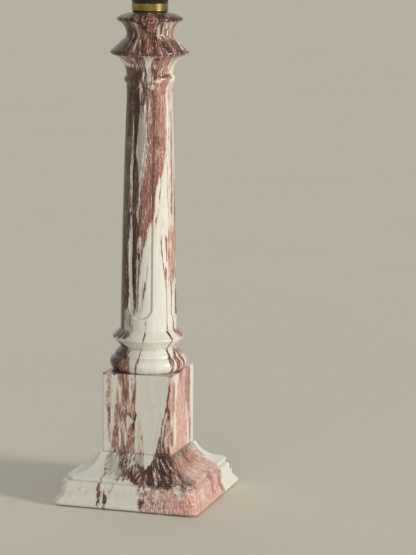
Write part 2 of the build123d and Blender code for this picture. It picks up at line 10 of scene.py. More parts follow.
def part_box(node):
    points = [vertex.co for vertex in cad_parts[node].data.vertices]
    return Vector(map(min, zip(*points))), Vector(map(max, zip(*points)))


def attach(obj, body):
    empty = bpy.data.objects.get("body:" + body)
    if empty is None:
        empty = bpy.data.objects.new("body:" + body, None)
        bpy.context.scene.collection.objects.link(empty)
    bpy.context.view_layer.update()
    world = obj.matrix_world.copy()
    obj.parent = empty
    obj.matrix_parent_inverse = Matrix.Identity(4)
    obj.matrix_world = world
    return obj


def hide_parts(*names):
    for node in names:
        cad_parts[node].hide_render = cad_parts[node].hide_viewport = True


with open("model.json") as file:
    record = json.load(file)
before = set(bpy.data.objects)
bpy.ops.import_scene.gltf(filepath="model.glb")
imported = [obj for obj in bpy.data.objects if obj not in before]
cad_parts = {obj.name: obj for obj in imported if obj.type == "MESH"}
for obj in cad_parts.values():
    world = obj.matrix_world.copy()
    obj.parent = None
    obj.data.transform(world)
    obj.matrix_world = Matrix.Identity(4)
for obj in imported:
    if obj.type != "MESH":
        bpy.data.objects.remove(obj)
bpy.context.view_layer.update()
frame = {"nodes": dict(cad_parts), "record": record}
nodes = frame["nodes"]

# Sizes are in millimetres until a mesh is made, and in the row frame: +Z up, the origin under the felt.
MM = 0.001
foot_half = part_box("plinth")[1].x / MM
foot_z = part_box("plinth")[0].z / MM
plinth_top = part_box("column")[0].z / MM
column_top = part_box("column")[1].z / MM
DIE_HALF = 36.5
# the shaft's ends, over the plinth's top
SHAFT_LOW = 42.2
SHAFT_HIGH = 285.6


# ---------------------------------------------------------------- outlines
def arc(a, m, b, count=14):
    """Points of the circle through a, m and b, from a to b, without a."""
    a, m, b = (complex(*p) for p in (a, m, b))
    w = (b - a) / (m - a)
    centre = a + (m - a) * (w - abs(w) ** 2) / (2j * w.imag)
    turn = phase((m - centre) / (a - centre)) + phase((b - centre) / (m - centre))
    points = [centre + (a - centre) * rect(1, turn * k / count) for k in range(1, count + 1)]
    return [(p.real, p.imag) for p in points]


def outlined(start, *moves):
    """A line from start. A move is the end of a straight stretch, or an arc: its middle, its end and, if need
    be, its count of points."""
    line = [start]
    for move in moves:
        line += arc(line[-1], *move) if isinstance(move[0], tuple) else [move]
    return line


def resampled(points, step):
    """The same line with its points a step apart."""
    p = np.array(points, float)
    length = line_length(p)
    count = max(2, int(round(length[-1] / step)) + 1)
    at = np.linspace(0, length[-1], count)
    return np.column_stack([np.interp(at, length, p[:, k]) for k in range(p.shape[1])])


def line_length(line):
    """How far along a line each of its points lies."""
    return np.concatenate([[0], np.cumsum(np.hypot(*np.diff(line, axis=0).T))])


def softened(points, reach, step):
    """A line whose corners are rounded as thick glaze rounds them; its ends stay where they are."""
    grain = 0.2
    p = resampled(points, grain)
    half = int(4 * reach / grain)
    kernel = np.exp(-0.5 * (np.arange(-half, half + 1) * grain / reach) ** 2)
    kernel /= kernel.sum()
    first, last = p[0], p[-1]
    padded = np.vstack([2 * first - p[half:0:-1], p, 2 * last - p[-2:-half - 2:-1]])
    smooth = np.column_stack([np.convolve(padded[:, k], kernel, "valid") for k in range(p.shape[1])])
    return resampled(smooth, step)


def plinth_outline():
    """Half widths and heights of the glazed foot and die, from the underside to the die's top."""
    lip, band, step, z = foot_half, foot_half - 4.8, foot_half - 9.4, foot_z
    cove_top, ledge = 50.0, 39.1
    return outlined(
        # the foot's lip, slope and upright band
        (lip - 1.3, z), ((lip, z + 2.4), (lip - 0.7, z + 4.8)), (lip - 3.4, z + 8.4),
        ((band + 0.3, z + 9.9), (band, z + 12.0)), (band - 0.4, z + 20.2),
        # the step, and the cove up to the die
        ((band - 1.4, z + 22.8), (step + 1.6, z + 23.7)), (step, z + 24.2), (step, z + 27.0),
        ((step - 0.3, z + 27.8), (step - 1.1, z + 28.3), 4), ((48.4, 37.7), (ledge, cove_top)),
        (DIE_HALF, cove_top), (DIE_HALF, plinth_top), (DIE_HALF - 6, plinth_top))


def column_outline():
    """Radii and heights of the glazed column, from its foot to its flat top."""
    line = outlined(
        # the two rings under the shaft
        (32.4, 0), ((38.5, 7.7), (33.5, 15.4), 24), (32.9, 18.2), (29.4, 22), ((28.2, 23.8), (29.4, 25.6)),
        (35.0, 32.2), ((35.9, 33.6), (35.0, 35.0)), (28.1, SHAFT_LOW),
        # the shaft and the thin ring over it
        ((26.25, 163.9), (22.8, SHAFT_HIGH), 60), (23.2, 286.6), ((25.3, 290.8), (23.2, 295)), (23.2, 297.6),
        # the bell and the lower disc
        ((27.55, 307.5), (37.3, 314.6), 24), ((39.3, 317.4), (38.3, 319.4)), (26.6, 329.8),
        # the neck and the upper disc
        ((23.7, 332.6), (22.9, 335.0)), ((24.94, 341.6), (31.6, 347.6), 20), ((32.6, 349.6), (31.6, 351.6)),
        ((26.5, 354.4), (18.4, 356.5)), (12.0, 356.5))
    return [(radius, plinth_top + z) for radius, z in line]


# ---------------------------------------------------------------- marbling: where each colour runs
# A colour is (how much of the surface is pink, how much of it is dark, the pink's tone). The tone runs from
# pale salmon at 0 through rose and red-brown to dark umber at 1.4. From there it pales to an olive grey at 2,
# which lies as a smooth wash instead of in streaks; that olive grey is partly grey glaze and partly painted
# shade.
WHITE = (-0.09, 0.0, 0.2)
TRACE = (0.25, 0.0, 0.35)
FAINT = (0.38, 0.0, 0.2)
HAZE = (0.42, 0.0, 2.1)
STREAKS = (0.54, 0.08, 0.6)
MOTTLE = (0.64, 0.2, 0.9)
DUSKY = (0.70, 0.24, 1.1)
# painted shade: the dark olive of the shaft's shaded flank, with brown streaks
FLANK_SHADE = (0.96, 0.3, 1.62)
SALMON = (0.76, 0.0, 0.2)
ROSE = (0.82, 0.1, 0.66)
CLARET = (0.88, 0.2, 0.86)
RUST = (0.84, 0.2, 0.86)
BROWN = (0.93, 0.44, 1.2)
UMBER = (0.94, 0.66, 1.3)
MAROON = (0.95, 0.95, 1.0)
RED = (0.95, 0.4, 0.8)
WINE = (1.0, 0.56, 0.95)
PEACH = (0.66, 0.03, 0.5)
VEIN = (1.2, 0.2, 0.95)
# painted shade: the grey of the shaded wedge inside the front panel
FLUTE_SHADE = (0.64, 0.0, 2.3)
BLUSH = (0.67, 0.1, 0.74)
MURK = (0.6, 0.03, 1.86)
CORAL = (0.74, 0.0, 0.3)

# Each band is (colour, edge softness, (height, left edge, right edge), ...). On the column the edges are
# degrees from -Y towards +X. Later bands cover earlier ones.
COLUMN_BANDS = [
    # shaft: the shaded side, with its shade painted in dark olive, the dark stripe and the white beside it
    (DUSKY, 9, (446, -106, -80), (430, -100, -78), (414, -104, -80), (398, -94, -82)),
    (FLANK_SHADE, 9, (428, -78, -28), (414, -90, -28), (400, -84, -27), (384, -98, -27), (366, -88, -27),
     (348, -82, -27), (330, -95, -27), (310, -106, -27), (290, -92, -27), (270, -84, -28), (250, -97, -29),
     (215, -80, -27), (200, -91, -30), (185, -84, -34), (171, -82, -42)),
    (RUST, 5, (330, -96, -86), (312, -112, -100), (296, -100, -90), (270, -92, -82), (236, -98, -88)),
    (DUSKY, 6, (424, -28, -10), (400, -27, -14), (383, -27, -20)),
    (UMBER, 8, (420, -42, -12), (400, -42, -9), (383, -41, -20), (368, -38, -30)),
    (UMBER, 7, (290, -31, -25), (280, -34, -26), (268, -37, -31)),
    (UMBER, 8, (284, -46, -40), (262, -50, -41), (246, -46, -33), (230, -46, -31), (222, -42, -27),
     (212, -40, -26), (203, -43, -27), (184, -46, -36), (171, -52, -42)),
    (HAZE, 8, (193, -42, -14), (183, -42, -16), (171, -44, -14)),
    (RUST, 2, (192, -24, -22), (176, -26, -24)),
    (TRACE, 6, (420, -7, 3), (404, -5, 0), (372, -6, -2)),
    (MOTTLE, 8, (424, -6, 26), (390, -8, 27), (378, -4, 22), (370, 6, 18), (362, 10, 18)),
    # painted shade: the grey wedge on the panel's shaded left half
    (FLUTE_SHADE, 4, (396, -3, 7), (388, -9, 9), (380, -11, 10), (360, -12, 8), (330, -12, -3), (320, -12, -5),
     (292, -16, -8)),
    (UMBER, 4, (418, 0, 7), (403, 2, 7), (396, 0, 3), (386, -1, 2)),
    (UMBER, 3, (411, 16, 18), (405, 16, 19)),
    (UMBER, 3, (409, 24, 26), (403, 24, 26), (396, 29, 32), (372, 30, 33)),
    (TRACE, 4, (397, 4, 9), (388, 4, 10), (380, 4, 8)),
    (TRACE, 3, (402, 18, 22), (390, 16, 18)),
    (UMBER, 2.4, (416, 9, 11), (385, 12, 13)),
    (UMBER, 2.2, (400, -5, -3.6), (388, -4, -2.6), (382, -2.6, -1.4)),
    # painted shade: more of the grey wedge inside the panel
    (FLUTE_SHADE, 3, (386, 5, 10), (355, 8, 14), (345, 6, 12), (327, -2, 7), (319, -5, 2), (300, -10, -5)),
    (WHITE, 2, (377, 9, 10.4), (365, 10.6, 12), (355, 11, 13), (335, 7, 9), (327, 4, 6), (319, -1, 1),
     (300, -7, -6)),
    # painted highlight: a pale line along the front panel's left edge, where its wall catches the light
    (TRACE, 1.6, (386, -26.4, -24.4), (370, -27, -24), (330, -26.6, -23.8), (304, -26.4, -24.4)),
    (RUST, 4, (309, -25, -19), (283, -24, -18), (272, -24, -19)),
    (UMBER, 3, (290, -22, -11), (258, -22, -10), (246, -22, -12), (216, -20, -13), (196, -17, -15)),
    # painted highlight: the same pale line further down, round the panel's lower end
    (WHITE, 1.8, (284, -26, -24), (266, -26.6, -23), (230, -26.4, -22.6), (214, -25.4, -21.6),
     (200, -22.4, -18.8), (191, -18, -16)),
    (MAROON, 3, (420, -23, -12), (402, -23.6, -8), (396, -23.6, -5), (390, -23.6, -8), (370, -23.6, -12),
     (326, -23.4, -18), (304, -23.6, -18.6), (288, -22, -17)),
    (BROWN, 3, (358, -20, -17.6), (344, -18, -12.6), (331, -18, -8), (318, -19, -7), (306, -19, -8),
     (294, -18, -11), (283, -18, -12)),
    # shaft: the rose band and its tail
    (CLARET, 7, (420, 24, 63), (392, 26, 61), (372, 17, 60), (362, 16, 60), (355, 13, 60), (335, 9, 53),
     (328, 6, 49), (321, 1, 41), (314, -1, 36), (305, -3, 33), (291, -6, 32), (272, -16, 15), (250, -17, 4),
     (229, -16, 0)),
    (ROSE, 10, (424, 36, 60), (400, 36, 60), (385, 38, 57), (374, 38, 58), (362, 42, 58), (350, 34, 56),
     (333, 33, 48)),
    (MOTTLE, 3, (418, 52, 54), (388, 48, 50)),
    (RUST, 6, (420, 24, 36), (408, 26, 34), (372, 28, 35), (360, 27, 33), (335, 28, 33)),
    (RUST, 7, (365, 32, 42), (361, 31, 43), (357, 34, 42)),
    (RUST, 8, (300, -4, 24), (290, -6, 23), (280, -13, 12), (270, -16, 4)),
    (BROWN, 6, (283, -16, -8), (272, -17, -4), (262, -17, -3), (214, -17, -6), (191, -15, -10)),
    (MAROON, 3, (288, -21, -14), (232, -20.6, -13), (206, -17, -14)),
    (TRACE, 2, (262, -9, -7), (238, -10.4, -8.6)),
    (TRACE, 4, (266, -5, 0), (260, -5, 1), (250, -4, -1)),
    (RUST, 4, (270, 2, 11), (262, 2, 9), (248, -1, 4)),
    (MAROON, 3, (250, -7, -2), (241, -5, -3)),
    (HAZE, 5, (248, -10, 3), (222, -10, -3), (206, -10, -3), (190, -12, -6)),
    (RUST, 2, (246, -3, 1), (230, -5, -3), (216, -6, -4.6), (200, -7, -5.4)),
    (WHITE, 3, (326, 40, 43), (310, 34, 42), (292, 32, 37)),
    (STREAKS, 3, (326, 43, 48), (308, 42, 45), (300, 40, 43), (278, 30, 34), (268, 29, 32)),
    # shaft: cream and salmon of the lit side
    (FAINT, 8, (420, 70, 112), (404, 66, 112), (395, 85, 112), (380, 84, 112), (365, 76, 112),
     (350, 77, 112), (320, 69, 112), (300, 72, 112), (272, 70, 112)),
    (STREAKS, 6, (402, 60, 67), (392, 60, 68), (376, 60, 66), (352, 59, 66), (340, 56, 62)),
    (MOTTLE, 2, (424, 73, 75), (390, 74, 76), (360, 72, 74), (334, 72, 73.4)),
    (MOTTLE, 2.4, (416, 80, 83), (384, 79, 82), (350, 80, 82), (310, 77, 79)),
    (CLARET, 3, (390, 86, 92), (310, 82, 88), (288, 80, 84)),
    (STREAKS, 5, (338, 77, 84), (330, 78, 84), (322, 77, 79)),
    (STREAKS, 4, (308, 78, 82), (300, 78, 81), (292, 76, 82), (284, 77, 81)),
    (VEIN, 1.4, (340, 65, 66.6), (310, 67, 68), (274, 69, 71)),
    (FAINT, 4, (290, 48, 52), (280, 45, 50), (272, 42, 46)),
    (PEACH, 7, (274, 72, 118), (266, 62, 118), (250, 60, 118), (240, 60, 116), (233, 66, 104),
     (226, 67, 94), (221, 77, 88)),
    (SALMON, 3, (262, 72, 80), (250, 70, 78), (240, 70, 76)),
    (ROSE, 2, (266, 66, 68), (252, 66, 68), (240, 67, 69)),
    (ROSE, 2.4, (262, 84, 88), (234, 80, 84)),
    (ROSE, 4, (232, 79, 90), (226, 80, 89), (222, 80, 86)),
    (RED, 2.5, (267, 54, 60), (250, 57, 60), (242, 57, 59)),
    (STREAKS, 2, (270, 44, 46), (251, 44, 46)),
    (VEIN, 1.6, (268, 43, 45), (256, 44, 46), (246, 45.4, 48), (240, 47, 50), (234, 50, 52)),
    (ROSE, 3, (236, 50, 55), (231, 50, 59), (226, 52, 59), (220, 53, 57), (215, 54, 57)),
    (VEIN, 1.4, (218, 55.5, 57.6), (200, 57, 58.6), (180, 59, 60.6), (171, 58, 61)),
    (ROSE, 3, (226, 62, 68), (216, 62, 65)),
    (STREAKS, 4, (224, 76, 86), (206, 75, 82)),
    (VEIN, 1.6, (224, 73, 75.4), (207, 75, 78), (190, 75.5, 78), (184, 77, 79.6), (171, 78, 84)),
    (HAZE, 4, (222, 8, 13), (210, 4, 10), (200, -1, 6), (190, 0, 5)),
    (FAINT, 1.2, (258, 18, 19.4), (238, 15, 17)),
    (VEIN, 1.4, (241, 15, 16.4), (232, 13.8, 15.6), (213, 8.4, 10.2), (201, 3.6, 5)),
    (FAINT, 1.2, (204, 4, 6), (197, 1.6, 3.4), (190, 2, 4)),
    # the two rings under the shaft; their dark brown left side is partly glaze and partly painted shade
    (UMBER, 6, (172, -84, -46), (166, -90, -42), (163, -82, -50)),
    (DUSKY, 6, (172, -46, -20), (167, -44, -16), (164, -44, -26)),
    (BROWN, 7, (161, -84, -36), (157, -90, -26), (152, -82, -22), (147, -94, -20), (140, -86, -16),
     (134, -96, -15), (129, -90, -16)),
    (UMBER, 5, (158, -70, -36), (150, -66, -22), (145, -60, -21), (138, -62, -32), (129, -70, -34)),
    (RUST, 5, (144, -30, -14), (138, -30, -12), (129, -26, -14)),
    (HAZE, 2, (183, 10.6, 12.4), (176, 10.4, 12.2), (170, 9, 12.4), (163, 6.6, 10.6)),
    (FAINT, 0.9, (181, 11.2, 12), (169, 10.4, 11.4)),
    (VEIN, 1.0, (171.6, 10.6, 11.6), (165, 8.8, 10), (162.6, 7.4, 8.6)),
    (STREAKS, 1.4, (163, 7, 8.4), (155, 3.6, 4.8)),
    (VEIN, 1.4, (155, 3, 4.4), (150, 2.4, 4), (141, -1.6, 1.2)),
    (RUST, 1.8, (145, -1, 3), (140, -3, 2), (135, -4, 0), (127, -7, -2)),
    (BROWN, 2.4, (172, 55, 61), (168, 57, 63), (165, 58, 62)),
    (VEIN, 2, (168, 57.4, 61), (160, 57, 60), (154, 56, 60.4)),
    (BROWN, 2.4, (155, 56, 60), (151, 54, 58), (147, 54, 59), (143, 52, 58), (139, 52, 58)),
    (DUSKY, 3, (147, 54, 63), (135, 53, 61), (129, 55, 63)),
    (RUST, 6, (172, 76, 112), (163, 82, 112)),
    (FAINT, 7, (165, 76, 112), (159, 72, 112), (152, 72, 112)),
    (RUST, 5, (153, 72, 112), (149, 68, 112), (145, 72, 112)),
    (FAINT, 6, (147, 82, 112), (129, 84, 112)),
    (DUSKY, 3.5, (150, 66, 90), (141, 68, 88), (136, 72, 88), (129, 74, 90)),
    (MOTTLE, 4, (148, 60, 72), (136, 64, 78), (129, 66, 78)),
    (WHITE, 1.8, (150, 61, 63), (134, 64, 66)),
    (FAINT, 2, (150, 74, 77), (134, 80, 83)),
    # astragal, and the bell under the lower disc
    (BROWN, 8, (434, -84, 4), (428, -96, 4), (420, -90, 2), (416, -84, -6)),
    (UMBER, 6, (430, -22, -4), (424, -24, 3), (418, -22, -6)),
    (MOTTLE, 8, (446, -50, -18), (436, -34, -12)),
    (DUSKY, 6, (445.6, -20, 5), (442, -22, 4), (436, -20, 3), (430, -16, 5)),
    (TRACE, 5, (445.6, -104, -42), (441, -98, -46), (438, -88, -51), (434, -80, -60)),
    (STREAKS, 2, (444, -14, -11), (438, -15, -12), (432, -13, -10)),
    (MOTTLE, 4, (445.6, -2, 9), (440, 1, 10), (430, 3, 8), (420, 4, 10)),
    (WHITE, 3, (445.8, 8, 34), (442, 10, 22), (430, 14, 18)),
    (HAZE, 5, (434, 10, 24), (427, 11, 24), (418, 11, 21)),
    (BROWN, 2.4, (434, 6, 9), (427, 7, 10.4), (421, 7, 10.4)),
    (ROSE, 6, (445.6, 32, 62), (442, 25, 62), (437, 22, 64), (430, 22, 68), (422, 34, 70), (416, 38, 68)),
    (DUSKY, 4, (443, 26, 44), (440.6, 25, 38)),
    (STREAKS, 2.4, (439, 28, 33), (435, 26, 35), (431, 30, 35)),
    (DUSKY, 3, (440, 22.6, 26), (436, 21.4, 24.6), (431, 23, 27), (428, 28, 40)),
    (MOTTLE, 4, (437, 38, 54), (432, 38, 50), (428, 36, 56)),
    (BROWN, 4, (432, 24, 33), (426, 24, 36), (420.4, 26, 34)),
    (FAINT, 7, (446, 60, 112), (430, 68, 112), (416, 70, 112)),
    (WHITE, 4, (445.4, 82, 96), (441, 78, 92), (430, 76, 88), (416, 74, 88)),
    (STREAKS, 3, (444, 64, 70), (428, 68, 74)),
    (MOTTLE, 6, (427, 34, 84), (421.5, 36, 82)),
    (BROWN, 4, (426.4, 32, 70), (424.8, 34, 72), (423.4, 36, 64)),
    (FAINT, 4, (421, 28, 46), (418.6, 26, 44)),
    (FAINT, 3, (417, 24, 32), (412, 25, 30)),
    # the lower disc's cone, the neck, the throat and the dome
    (BROWN, 10, (482, -260, -14), (470, -260, -10), (460, -260, -12), (444.8, -260, -12)),
    (ROSE, 8, (478, 148, 166), (462, 150, 172), (446, 154, 170)),
    (CLARET, 8, (478, -150, -128), (464, -152, -124), (446, -146, -120)),
    (UMBER, 9, (470, 176, 204), (446, 172, 210)),
    (STREAKS, 3, (476, 118, 124), (462, 120, 124), (448, 122, 130)),
    (STREAKS, 2, (472, 143, 146), (460, 140, 144), (449, 139, 141)),
    (FAINT, 3, (477, 170, 175), (468, 172, 175), (456, 170, 172)),
    (STREAKS, 2, (466, -142, -139), (454, -144, -140), (447, -146, -142)),
    (FAINT, 3, (476, -112, -106), (462, -110, -107), (448, -116, -110)),
    (STREAKS, 2, (474, -76, -73), (460, -78, -74), (449, -74, -71)),
    (UMBER, 8, (478, -44, -14), (452, -44, -14), (445, -40, -16)),
    (BROWN, 12, (480, -10, 50), (470, -8, 50), (460, -10, 56), (444.8, -14, 60)),
    (UMBER, 7, (472, -4, 10), (455, 0, 18), (447, 2, 16)),
    (UMBER, 6, (470, 16, 32), (462, 20, 34), (453, 22, 42), (446, 26, 46)),
    (UMBER, 5, (462, 38, 50), (449, 46, 56)),
    (RUST, 6, (470, -6, 4), (458, 8, 20), (449, 12, 24)),
    (RUST, 5, (460, 28, 36), (447, 32, 44)),
    (STREAKS, 2.4, (474, -13, -9), (463, -12, -8), (448, -6, -3)),
    (STREAKS, 2, (462, -3, -1), (452, 2, 4), (447, 3, 5)),
    (STREAKS, 2, (462, 13, 15), (454, 15, 17)),
    (MOTTLE, 3, (468, -27, -24), (452, -23, -20)),
    (MOTTLE, 2.4, (466, 34, 37), (458, 38, 41)),
    (DUSKY, 9, (463, 50, 118), (444.8, 52, 118)),
    (BROWN, 6, (462, 76, 118), (456, 60, 80), (446, 64, 82)),
    (FAINT, 3, (460, 88, 93), (450, 76, 79)),
    (STREAKS, 2, (458, 56, 59), (450, 58, 60)),
    (CLARET, 5, (480, 12, 34), (474, 10, 33), (468, 12, 30)),
    (MOTTLE, 6, (480, -30, -8), (468, -18, -12)),
    (TRACE, 3, (479, -18, -6), (473, -15, -11)),
    (TRACE, 2, (478.4, 4, 8), (475, 6, 9)),
    (FAINT, 2.4, (478.6, 14, 26), (476.6, 16, 24)),
    (MOTTLE, 6, (474, 32, 68), (467, 34, 74), (460, 36, 72)),
    (MAROON, 2, (474, 44, 47), (468, 45, 48), (463, 43, 47)),
    (HAZE, 3, (474, 48, 53), (466, 50, 56), (461, 52, 56)),
    (WHITE, 2, (469, 63, 67), (465, 64, 68)),
    (FAINT, 2.4, (476, 36, 39), (470, 38, 41), (464, 38, 41)),
    (HAZE, 3, (477, 56, 64), (470, 57, 62)),
    (ROSE, 8, (480, 70, 118), (466, 74, 118), (460, 72, 118)),
    (RUST, 4, (476, 84, 100), (468, 84, 96), (462, 80, 92)),
    (FAINT, 3, (478.6, 40, 64), (475, 50, 56)),
    (STREAKS, 2, (478, 70, 73), (470, 72, 75)),
    (BROWN, 40, (489, 0, 360), (478.4, 0, 360)),
    (UMBER, 14, (489, -60, 20), (478.4, -60, 20)),
    (UMBER, 12, (489, 30, 100), (478.4, 30, 100)),
    (RUST, 8, (484, -46, -20), (480, -46, -24)),
    (RUST, 6, (486, 10, 30), (480, 12, 30)),
    (STREAKS, 2, (485, -10, -7), (479, -8, -5)),
    (STREAKS, 2, (484, 3, 5), (479, 4, 6)),
]

